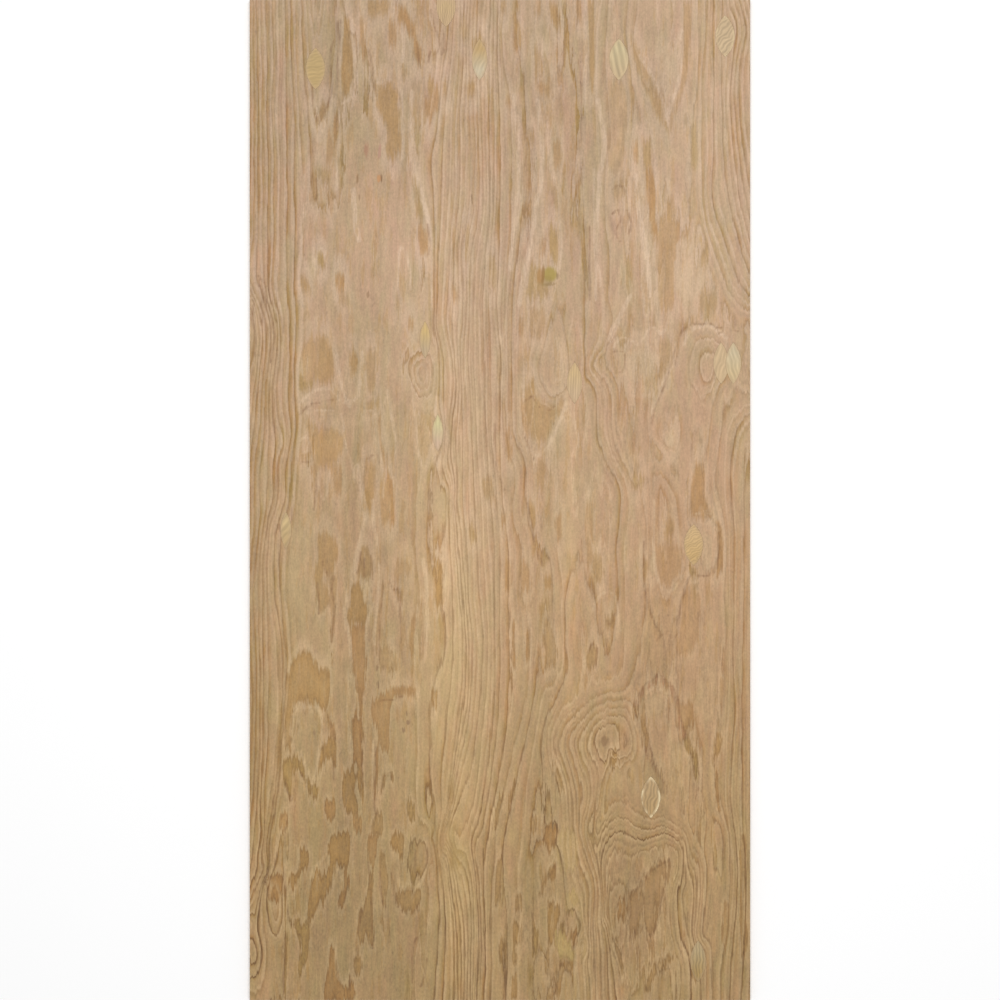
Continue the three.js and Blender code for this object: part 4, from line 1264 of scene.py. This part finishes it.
PLAIN_OLIVE, PLAIN_PINK = "b19876", "b89579"
AMBER_OLIVE, AMBER_PINK = "9c7e46", "a87c4e"
RING_DARK, RING_PALE = "73502c", "ceb298"
SEAM_PALE, VEIN_DARK = "d2b79c", "754c2c"
NEAR_END_TINT = (0.95, 0.89, 0.63, 1)  # what the wood's colour is multiplied by there
SHARES = (0.30, 0.38, 1.0)  # what fibres, mottle and the rest count for in how light it is
SANDED_ROUGHNESS = 0.7
FIBRE_HEIGHT = 0.2 * MM


def sanded_fir():
    """Rotary-cut fir, sanded and bare: honey-pink earlywood, thin brown latewood lines, matt."""
    material, node, shader = new_material("sanded rotary-cut fir")
    place = node("ShaderNodeTexCoord", out="Object")
    across, along = (node("ShaderNodeSeparateXYZ", [place], out=axis) for axis in "XY")
    rings, crowding, raggedness, tone, warmth, paler, bold, fine, island, hides, seam, vein = (
        node("ShaderNodeAttribute", attribute_name=name, out="Fac")
        for name in FACE_VALUES.split()
    )
    island_colour = node("ShaderNodeAttribute", attribute_name="island_colour", out="Vector")

    # The saw-toothed edge of each ring, and each ring's own depth of colour
    steps = streaks(node, place, 6 * MM, 90 * MM, 4.0, 0.6)
    steps = node(MATH, [steps, 0.5], operation="SUBTRACT")
    flat = node(MAP_RANGE, [crowding, 0.09, 0.03], **SMOOTH)
    sway = streaks(node, place, 24 * MM, 240 * MM, 5.0, 0.62)
    sway = node(MAP_RANGE, [sway, 0.0, 1.0, -1.3, 1.3])
    sway = node(MATH, [sway, flat], **TIMES)
    ring = node(MATH, [steps, raggedness, rings], operation="MULTIPLY_ADD")
    ring = node(MATH, [ring, sway], operation="ADD")
    crowding = node(MATH, [flat, 0.05, crowding], operation="MULTIPLY_ADD")
    phase = node(MATH, [ring], operation="FRACT")
    number = node(MATH, [ring], operation="FLOOR")
    own = node("ShaderNodeTexWhiteNoise", {"W": number}, noise_dimensions="1D")
    nearest = node(MATH, [ring], operation="ROUND")
    line_own = node("ShaderNodeTexWhiteNoise", {"W": nearest}, noise_dimensions="1D")

    # How far it is, in thousandths, from the ring's light start and to its dark end
    behind = node(MATH, [phase, crowding], operation="DIVIDE")
    left = node(MATH, [1.0, phase], operation="SUBTRACT")
    ahead = node(MATH, [left, crowding], operation="DIVIDE")
    edge = node(MAP_RANGE, [ahead, 1.7, 0.3], **SMOOTH)
    after = node(MAP_RANGE, [behind, 0.9, 0.0], **SMOOTH)
    edge = node(MATH, [edge, after], operation="MAXIMUM")
    late = node(MAP_RANGE, [ahead, 5.0, 0.8], **SMOOTH)
    halo = node(MAP_RANGE, [behind, 3.6, 1.2], **SMOOTH)
    rise = node(MAP_RANGE, [behind, 0.3, 1.3], **SMOOTH)
    halo = node(MATH, [halo, rise], **TIMES)

    # Pink and olive drift through the wood; amber lies in pools towards the ends of the rings
    drift = streaks(node, place, 30 * MM, 130 * MM, 4.0, 0.65)
    drift = node(MATH, [drift, warmth], operation="ADD")
    drift = node(MAP_RANGE, [drift, 0.32, 0.68])
    plain = node(MIX, {0: drift, 6: linear(PLAIN_OLIVE), 7: linear(PLAIN_PINK)}, **BLEND)
    amber = node(MIX, {0: drift, 6: linear(AMBER_OLIVE), 7: linear(AMBER_PINK)}, **BLEND)
    pooled = streaks(node, place, 34 * MM, 140 * MM, 3.0)
    pooled = node(MAP_RANGE, [pooled, 0.40, 0.60, -0.42, 0.42])
    amount = node(MAP_RANGE, [across, 0.35, -0.35, 0.40, 0.75])
    pooled = node(MATH, [pooled, paler], operation="SUBTRACT")
    amount = node(MATH, [amount, pooled], operation="ADD", use_clamp=True)
    amount = node(MATH, [late, amount], **TIMES)
    each = node(MAP_RANGE, {0: line_own, 3: 0.4, 4: 1.15})
    amount = node(MATH, [amount, each], **TIMES)
    richer = node(MAP_RANGE, [paler, 0.0, -1.0, 0.0, 0.35])
    amount = node(MATH, [amount, richer], operation="MAXIMUM")
    colour = node(MIX, {0: amount, 6: plain, 7: amber}, **BLEND)

    # Islands, with ragged edges and streaks of the wood around them showing through
    sharp = node(MAP_RANGE, [along, 0.0, -0.7, 0.4, 1.0])
    depth = node(MATH, [steps, 9.0, island], operation="MULTIPLY_ADD")
    depth = node(MATH, [depth, sharp], **TIMES)
    cover = node(MAP_RANGE, [depth, -0.4, 0.7], **SMOOTH)
    deep = node(MAP_RANGE, [depth, 1.5, 5.0, 1.0, 0.7])
    patchy = streaks(node, place, 9 * MM, 60 * MM, 3.0, 0.6)
    patchy = node(MAP_RANGE, [patchy, 0.34, 0.52, 0.70, 1.0])
    for factor in (deep, patchy, hides):
        cover = node(MATH, [cover, factor], **TIMES)
    colour = node(MIX, {0: cover, 6: colour, 7: island_colour}, **BLEND)
    rim = node(MAP_RANGE, [depth, 1.6, 0.5], **SMOOTH)
    rim = node(MATH, [rim, cover], **TIMES)
    dark = node(MAP_RANGE, {0: sharp, 1: 0.4, 3: 0.04, 4: 0.45})
    rim = node(MATH, [rim, dark], **TIMES)
    colour = node(MIX, {0: rim, 6: colour, 7: linear(RING_DARK)}, **BLEND)
    glow = node(MAP_RANGE, [depth, -3.0, -0.8], **SMOOTH)
    shore = node(MAP_RANGE, [depth, 0.2, -0.6, 0.0, 0.4], **SMOOTH)
    glow = node(MATH, [glow, shore], **TIMES)
    glow = node(MATH, [glow, hides], **TIMES)
    colour = node(MIX, {0: glow, 6: colour, 7: linear(RING_PALE)}, **BLEND)

    # Pale seams and dark veins, both wandering and broken
    worn = streaks(node, place, 5 * MM, 30 * MM, 3.0, 0.6)
    worn = node(MAP_RANGE, [worn, 0.32, 0.58, 0.25, 1.0])
    for line, stray, strength, hex_colour in ((seam, 4.5, 0.5, SEAM_PALE), (vein, 3.5, 0.54, VEIN_DARK)):
        depth = node(MATH, [steps, stray, line], operation="MULTIPLY_ADD")
        amount = node(MAP_RANGE, [depth, -0.7, 1.2, 0.0, strength], **SMOOTH)
        amount = node(MATH, [amount, worn], **TIMES)
        colour = node(MIX, {0: amount, 6: colour, 7: linear(hex_colour)}, **BLEND)

    # Ragged streaks of latewood, only where the grain is flat
    flecks = streaks(node, place, 14 * MM, 95 * MM, 5.0, 0.65)
    flecks = node(MAP_RANGE, [flecks, 0.55, 0.63, 0.0, 0.4], **SMOOTH)
    flecks = node(MATH, [flecks, flat], **TIMES)
    colour = node(MIX, {0: flecks, 6: colour, 7: linear(AMBER)}, **BLEND)

    # The dark line breaks up along its length, and some rings have hardly any
    breaks = streaks(node, place, 12 * MM, 150 * MM)
    breaks = node(MAP_RANGE, [breaks, 0.3, 0.65, 0.4, 1.0])
    weight = node(MAP_RANGE, {0: line_own, 3: 0.06, 4: 0.80})
    bolder = node(MAP_RANGE, [along, -0.5, -1.0, 1.0, 1.4])
    crisp = node(MAP_RANGE, [along, -0.366, -0.975, 0.62, 0.95], **SMOOTH)
    crisp = node(MATH, [bold, crisp, crisp], operation="MULTIPLY_ADD")
    for factor in (bolder, crisp, edge, breaks):
        weight = node(MATH, [weight, factor], **TIMES)
    colour = node(MIX, {0: weight, 6: colour, 7: linear(RING_DARK)}, **BLEND)
    lit = streaks(node, place, 16 * MM, 90 * MM)
    amount = node(MAP_RANGE, [lit, 0.3, 0.65, 0.08, 0.62])
    amount = node(MATH, [halo, amount], **TIMES)
    amount = node(MATH, [amount, crisp], **TIMES)
    colour = node(MIX, {0: amount, 6: colour, 7: linear(RING_PALE)}, **BLEND)

    # Finer rings half-way between the others
    between = node(MATH, [phase, 0.5], operation="SUBTRACT")
    between = node(MATH, [between, crowding], operation="DIVIDE")
    open_grain = node(MAP_RANGE, [crowding, 0.24, 0.15])
    for factor in (fine, breaks, crisp):
        open_grain = node(MATH, [open_grain, factor], **TIMES)
    for near, hex_colour, strength in ((0.0, RING_DARK, 0.42), (1.6, RING_PALE, 0.4)):
        apart = node(MATH, [between, near], operation="SUBTRACT")
        apart = node(MATH, [apart], operation="ABSOLUTE")
        amount = node(MAP_RANGE, [apart, 1.3, 0.2, 0.0, strength], **SMOOTH)
        amount = node(MATH, [amount, open_grain], **TIMES)
        colour = node(MIX, {0: amount, 6: colour, 7: linear(hex_colour)}, **BLEND)

    # Fibres, mottle, short dark pores, faint echoes of the ring's start, and painted shade towards the
    # near end
    fibre = streaks(node, place, 9 * MM, 90 * MM, 4.0, 0.6)
    mottle = streaks(node, place, 26 * MM, 80 * MM, 5.0, 0.65)
    echo = node(MATH, [own, 40.0], **TIMES)
    echo = node(MATH, [behind, 0.3, echo], operation="MULTIPLY_ADD")
    echo = node("ShaderNodeTexNoise", {"W": echo, "Scale": 1.0}, noise_dimensions="1D")
    echo = node(MATH, [echo, 0.5], operation="SUBTRACT")
    fade = node(MAP_RANGE, [behind, 30.0, 5.0, 0.06, 0.28])
    pores = streaks(node, place, 3 * MM, 18 * MM, 1.0)
    pores = node(MAP_RANGE, [pores, 0.66, 0.76, 0.0, -0.16])
    # Painted shade: the face is made darker towards the sheet's near end, where the light falls off.
    painted_near_end_shade = node(MAP_RANGE, [along, -0.2, -1.2, 0.45, 0.32])
    base = node(MATH, [echo, fade, painted_near_end_shade], operation="MULTIPLY_ADD")
    for part in (pores, tone):
        base = node(MATH, [base, part], operation="ADD")
    grit = streaks(node, place, 4 * MM, 6 * MM, 2.0)
    base = node(MATH, [grit, 0.42, base], operation="MULTIPLY_ADD")
    parts = node("ShaderNodeCombineXYZ", [fibre, mottle, base])
    shade = node(VECTOR_MATH, [parts, SHARES], out="Value", operation="DOT_PRODUCT")
    colour = node(VECTOR_MATH, {0: colour, "Scale": shade}, operation="SCALE")

    # Honey towards the near end, and the small marks over it all
    near = node(MAP_RANGE, [along, 0.6, -0.8])
    honey = node(MIX, {0: near, 6: (1, 1, 1, 1), 7: NEAR_END_TINT}, **BLEND)
    colour = node(VECTOR_MATH, [colour, honey], **TIMES)
    ragged = node(MATH, [steps, 0.02], **TIMES)
    blurred = node(VECTOR_MATH, [place, ragged], operation="ADD")
    for (x, y), (half_width, half_length), hex_colour, strength in MARKS:
        centre = (x * THOUSANDTH, sheet_high.y - y * THOUSANDTH, sheet_high.z)
        size = (half_width * THOUSANDTH, half_length * THOUSANDTH, SHEET_THICKNESS)
        inside = {"Vector": blurred, "Location": centre, "Scale": size}
        inside = node("ShaderNodeMapping", inside, vector_type="TEXTURE")
        inside = node(VECTOR_MATH, [inside], out="Value", operation="LENGTH")
        amount = node(MAP_RANGE, [inside, 1.2, 0.6, 0.0, strength], **SMOOTH)
        colour = node(MIX, {0: amount, 6: colour, 7: linear(hex_colour)}, **BLEND)
    raised = {"Height": fibre, "Distance": FIBRE_HEIGHT, "Strength": 0.5}
    raised = node("ShaderNodeBump", raised)
    feed(shader, {"Base Color": colour, "Roughness": SANDED_ROUGHNESS, "Normal": raised})
    return material


LONG_GRAIN = ("b08b5c", "d8bb92")
END_GRAIN = ("7f5f3a", "ba966a")
GLUE = "4a3222"
LONG_STREAKS = (12, 12, 1400)  # in each metre, so each is 83 mm long and 0.7 mm high
END_STREAKS = (260, 260, 700)  # in each metre, so each is 4 mm wide and 1.4 mm high
SAWN_ROUGHNESS = 0.85


def sawn_edge():
    """The sheet's sawn sides: plies with long grain and end grain by turns, on dark glue lines."""
    material, node, shader = new_material("sawn plywood edge")
    place = node("ShaderNodeTexCoord", out="Object")
    facing = node("ShaderNodeTexCoord", out="Normal")
    facing = node("ShaderNodeSeparateXYZ", [facing], out="X")
    facing = node(MATH, [facing], operation="ABSOLUTE")
    long_edge = node(MATH, [facing, 0.5], operation="GREATER_THAN")
    height = node("ShaderNodeSeparateXYZ", [place], out="Z")

    # Which ply this is, counted from the back, and how near its glue lines are
    levels = ply_levels()
    inner = levels[2] - levels[1]
    ply = {0: height, 1: levels[1] - inner, 2: levels[1] + inner * (PLIES - 1), 4: PLIES}
    ply = node(MAP_RANGE, ply, clamp=False)
    from_glue = node(MATH, [ply, 1.0], operation="PINGPONG")
    glue = node(MAP_RANGE, [from_glue, 0.06, 0.02])
    turn = node(MATH, [ply, long_edge], operation="ADD")
    turn = node(MATH, [turn, 0.5], **TIMES)
    turn = node(MATH, [turn], operation="FRACT")
    end_grain = node(MATH, [turn, 0.5], operation="GREATER_THAN")

    woods = []
    for (dark, light), scale in ((LONG_GRAIN, LONG_STREAKS), (END_GRAIN, END_STREAKS)):
        grain = node("ShaderNodeMapping", {"Vector": place, "Scale": scale})
        grain = node("ShaderNodeTexNoise", {"Vector": grain, "Scale": 1.0})
        woods.append(node(MIX, {0: grain, 6: linear(dark), 7: linear(light)}, **BLEND))
    colour = node(MIX, {0: end_grain, 6: woods[0], 7: woods[1]}, **BLEND)
    colour = node(MIX, {0: glue, 6: colour, 7: linear(GLUE)}, **BLEND)
    feed(shader, {"Base Color": colour, "Roughness": SAWN_ROUGHNESS})
    return material


BACK_PALE, BACK_BROWN = "c7a77d", "a98255"
BACK_RINGS = 22.0
UNSANDED_ROUGHNESS = 0.9


def plain_back():
    """The back ply: unsanded utility veneer, straw brown, in broad soft figure, very matt."""
    material, node, shader = new_material("unsanded back veneer")
    place = node("ShaderNodeTexCoord", out="Object")
    broad = streaks(node, place, 90 * MM, 900 * MM, 3.0)
    rings = node(MATH, [broad, BACK_RINGS], **TIMES)
    rings = node(MATH, [rings], operation="FRACT")
    fibre = streaks(node, place, 4 * MM, 120 * MM, 3.0)
    colour = node(MIX, {0: rings, 6: linear(BACK_PALE), 7: linear(BACK_BROWN)}, **BLEND)
    shade = node(MAP_RANGE, [fibre, 0.2, 0.8, 0.78, 1.1])
    colour = node(VECTOR_MATH, {0: colour, "Scale": shade}, operation="SCALE")
    feed(shader, {"Base Color": colour, "Roughness": UNSANDED_ROUGHNESS})
    return material


def give_materials(mesh):
    """The face's fir on what looks up, the back's veneer on what looks down, and sawn sides."""
    mesh.materials.clear()
    for material in (sanded_fir(), sawn_edge(), plain_back()):
        mesh.materials.append(material)
    upward = values_of(mesh.polygons, "normal", 3)[:, 2]
    chosen = np.where(upward > 0.5, 0, np.where(upward < -0.5, 2, 1)).astype(np.int32)
    mesh.polygons.foreach_set("material_index", chosen)


# Where each part lies on the map, from 0 to 1: its left edge, its width, its foot, its height.
MAP_AREAS = (
    (0.955, 0.014, 0.01, 0.97),  # right long edge
    (0.979, 0.014, 0.01, 0.97),  # left long edge
    (0.69, 0.25, 0.84, 0.014),  # far end
    (0.69, 0.25, 0.88, 0.014),  # near end
    (0.69, 0.25, 0.01, 0.80),  # back
    (0.01, 0.66, 0.01, 0.97),  # face
)


def add_map(mesh):
    """Lays the face, the back and the four sides out beside each other, the face largest."""
    of_corner = values_of(mesh.loops, "vertex_index", kind=np.int32)
    corners = values_of(mesh.polygons, "loop_total", kind=np.int32)
    normals, centres = values_of(mesh.polygons, "normal", 3), values_of(mesh.polygons, "center", 3)
    x, y, z = values_of(mesh.vertices, "co", 3)[of_corner].T
    x, y = x / SHEET_WIDTH + 0.5, y / SHEET_LENGTH + 0.5
    z = (z - sheet_low.z) / SHEET_THICKNESS
    inner = np.array([SHEET_WIDTH, SHEET_LENGTH]) / 2 - SIDE_BAND
    on_long, on_end = ((np.abs(normals[:, :2]) > SIDEWAYS) & (np.abs(centres[:, :2]) > inner)).T
    right, far, below = centres[:, 0] > 0, centres[:, 1] > 0, normals[:, 2] < -0.5
    kinds = [on_long & right, on_long, on_end & far, on_end, below, np.ones(len(corners), bool)]
    kind = np.repeat(np.argmax(kinds, 0), corners)
    left, width, foot, height = np.array(MAP_AREAS)[kind].T
    across = left + width * np.choose(kind, [z, z, x, x, x, x])
    along = foot + height * np.choose(kind, [y, y, z, z, y, y])
    uv = np.stack([across, along], -1).astype(np.float32)
    mesh.uv_layers.new(name="OFBake").data.foreach_set("uv", uv.ravel())


def make_sheet():
    """The finished sheet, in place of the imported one."""
    sheet = with_pockets(sheet_block())
    add_figure(sheet.data)
    give_materials(sheet.data)
    add_map(sheet.data)
    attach(sheet, "root")
    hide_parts("plywood_sheet")


make_sheet()

# ---------------------------------------------------------------------------------------
# The patches: boat-shaped plugs of fir, glued into the pockets where knots were cut out. Each
# comes from another veneer, so its colour and the run of its grain differ from the sheet's.

RIM_WIDTH = 7 * MM
RIM_COLOUR = "dac49a"
GAP_MIDDLE = 0.26  # where the rim is missing: this much of the patch's length past its middle
GAP_HALF, GAP_END = 0.04, 0.12  # how far from there it is all gone, and from where it is whole
WORN_EDGE = 0.6  # how much a ragged fringe inside the edge takes the sheet's own colour
WORN_WIDTH, WORN_STRAY = 8 * MM, 14 * MM
# The near one is darker partly by the painted shade that the sheet's face has towards its near end.
WORN_FAR, WORN_NEAR = "bd9f7a", "aa8e69"  # that colour at the sheet's two ends

# For each patch: its colour at its far end and at its near end, how far apart its rings lie
# (mm), how far its grain is turned (degrees), how much it bends, how deep its rings are, and
# how far its rim is lighter.
# Patches towards the sheet's near end have darker colours: partly their own, partly painted shade as on
# the sheet there.
PATCH_LOOKS = {
    "boat_patch_01": ("ba9e74", "b79a74", 5.2, 0, 3.0, 0.32, 0.0),
    "boat_patch_02": ("b29767", "b59967", 9.0, 78, 7.0, 0.12, 0.0),
    "boat_patch_03": ("b69766", "beae91", 9.0, 20, 6.0, 0.12, 0.0),
    "boat_patch_04": ("beac85", "b9a27d", 15.0, -12, 1.2, 0.30, 0.35),
    "boat_patch_05": ("baa17e", "bca380", 9.0, 40, 9.0, 0.28, 0.50),
    "boat_patch_06": ("c5a76e", "b39b79", 8.0, 0, 3.0, 0.14, 0.0),
    "boat_patch_07": ("c8bb8b", "c3a689", 9.0, 0, 3.0, 0.14, 0.0),
    "boat_patch_08": ("c1a477", "bca07d", 6.0, 2, 1.5, 0.22, 0.0),
    "boat_patch_09": ("c1a680", "c0a47e", 10.0, 15, 5.0, 0.18, 0.20),
    "boat_patch_10": ("c1af8d", "c1a980", 10.0, -15, 5.0, 0.18, 0.20),
    "boat_patch_11": ("bfa576", "b29669", 14.0, 35, 4.0, 0.24, 0.0),
    "boat_patch_12": ("c1a172", "bb9a66", 6.5, 60, 11.0, 0.24, 0.0),
    "boat_patch_13": ("aa8d64", "a6885c", 9.0, 10, 8.0, 0.34, 1.0),
    "boat_patch_14": ("a8926a", "9d804e", 8.0, 0, 5.0, 0.34, 0.0),
}


def patch_wood(name, far_end, near_end, spacing, turned, bend, depth, rim):
    """Fir of one patch, sanded flush: its own colour and rings, as matt as the sheet."""
    material, node, shader = new_material("fir of " + name.replace("_", " "))
    low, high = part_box(name)
    middle = (low + high) / 2
    size = high - low
    place = node("ShaderNodeTexCoord", out="Object")
    place = node(VECTOR_MATH, [place, middle], operation="SUBTRACT")
    grain = {"Vector": place, "Angle": math.radians(turned)}
    grain = node("ShaderNodeVectorRotate", grain, rotation_type="Z_AXIS")
    wave = {"Vector": grain, "Distortion": bend, "Detail": 1.5}
    wave["Scale"] = math.pi / (10 * spacing * MM)  # a band for each ring
    wave = node("ShaderNodeTexWave", wave, out="Fac", bands_direction="X")
    fibre = streaks(node, grain, 5 * MM, 50 * MM, 4.0, 0.6)
    along = node("ShaderNodeSeparateXYZ", [place], out="Y")
    nearer = node(MAP_RANGE, [along, size.y / 4, -size.y / 4])
    colour = node(MIX, {0: nearer, 6: linear(far_end), 7: linear(near_end)}, **BLEND)
    shade = node(MAP_RANGE, {0: wave, 3: 1 + depth / 2, 4: 1 - depth / 2})
    dim = node(MAP_RANGE, {0: fibre, 3: 0.75, 4: 1.25})
    shade = node(MATH, [shade, dim], **TIMES)
    colour = node(VECTOR_MATH, {0: colour, "Scale": shade}, operation="SCALE")

    # How far inside the outline, whose two sides are arcs
    radius = (size.y**2 + size.x**2) / (4 * size.x)
    reaches = []
    for side in (-1, 1):
        centre = (side * (radius - size.x / 2), 0, size.z / 2)
        reach = node(VECTOR_MATH, [place, centre], out="Value", operation="DISTANCE")
        reaches.append(reach)
    reach = node(MATH, reaches, operation="MAXIMUM")
    worn = streaks(node, place, 5 * MM, 12 * MM, 2.0)
    worn = node(MATH, [worn, WORN_STRAY, reach], operation="MULTIPLY_ADD")
    worn = node(MAP_RANGE, [worn, radius, radius + WORN_WIDTH, 0.0, WORN_EDGE])
    down = (sheet_high.y - middle.y) / SHEET_LENGTH
    sheet_colour = Vector(linear(WORN_FAR)).lerp(Vector(linear(WORN_NEAR)), down)
    colour = node(MIX, {0: worn, 6: colour, 7: sheet_colour}, **BLEND)
    inside = [reach, radius - RIM_WIDTH, radius - RIM_WIDTH / 4, 0.0, rim]
    inside = node(MAP_RANGE, inside)
    broken = streaks(node, place, 12 * MM, 26 * MM, 2.0)
    broken = node(MAP_RANGE, [broken, 0.40, 0.54])
    gap = node(MATH, [along, GAP_MIDDLE * size.y], operation="SUBTRACT")
    gap = node(MATH, [gap], operation="ABSOLUTE")
    gap = node(MAP_RANGE, [gap, GAP_HALF * size.y, GAP_END * size.y])
    for factor in (broken, gap):
        inside = node(MATH, [inside, factor], **TIMES)
    colour = node(MIX, {0: inside, 6: colour, 7: linear(RIM_COLOUR)}, **BLEND)
    feed(shader, {"Base Color": colour, "Roughness": SANDED_ROUGHNESS})
    return material


for patch_name, looks in PATCH_LOOKS.items():
    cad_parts[patch_name].material_slots[0].material = patch_wood(patch_name, *looks)
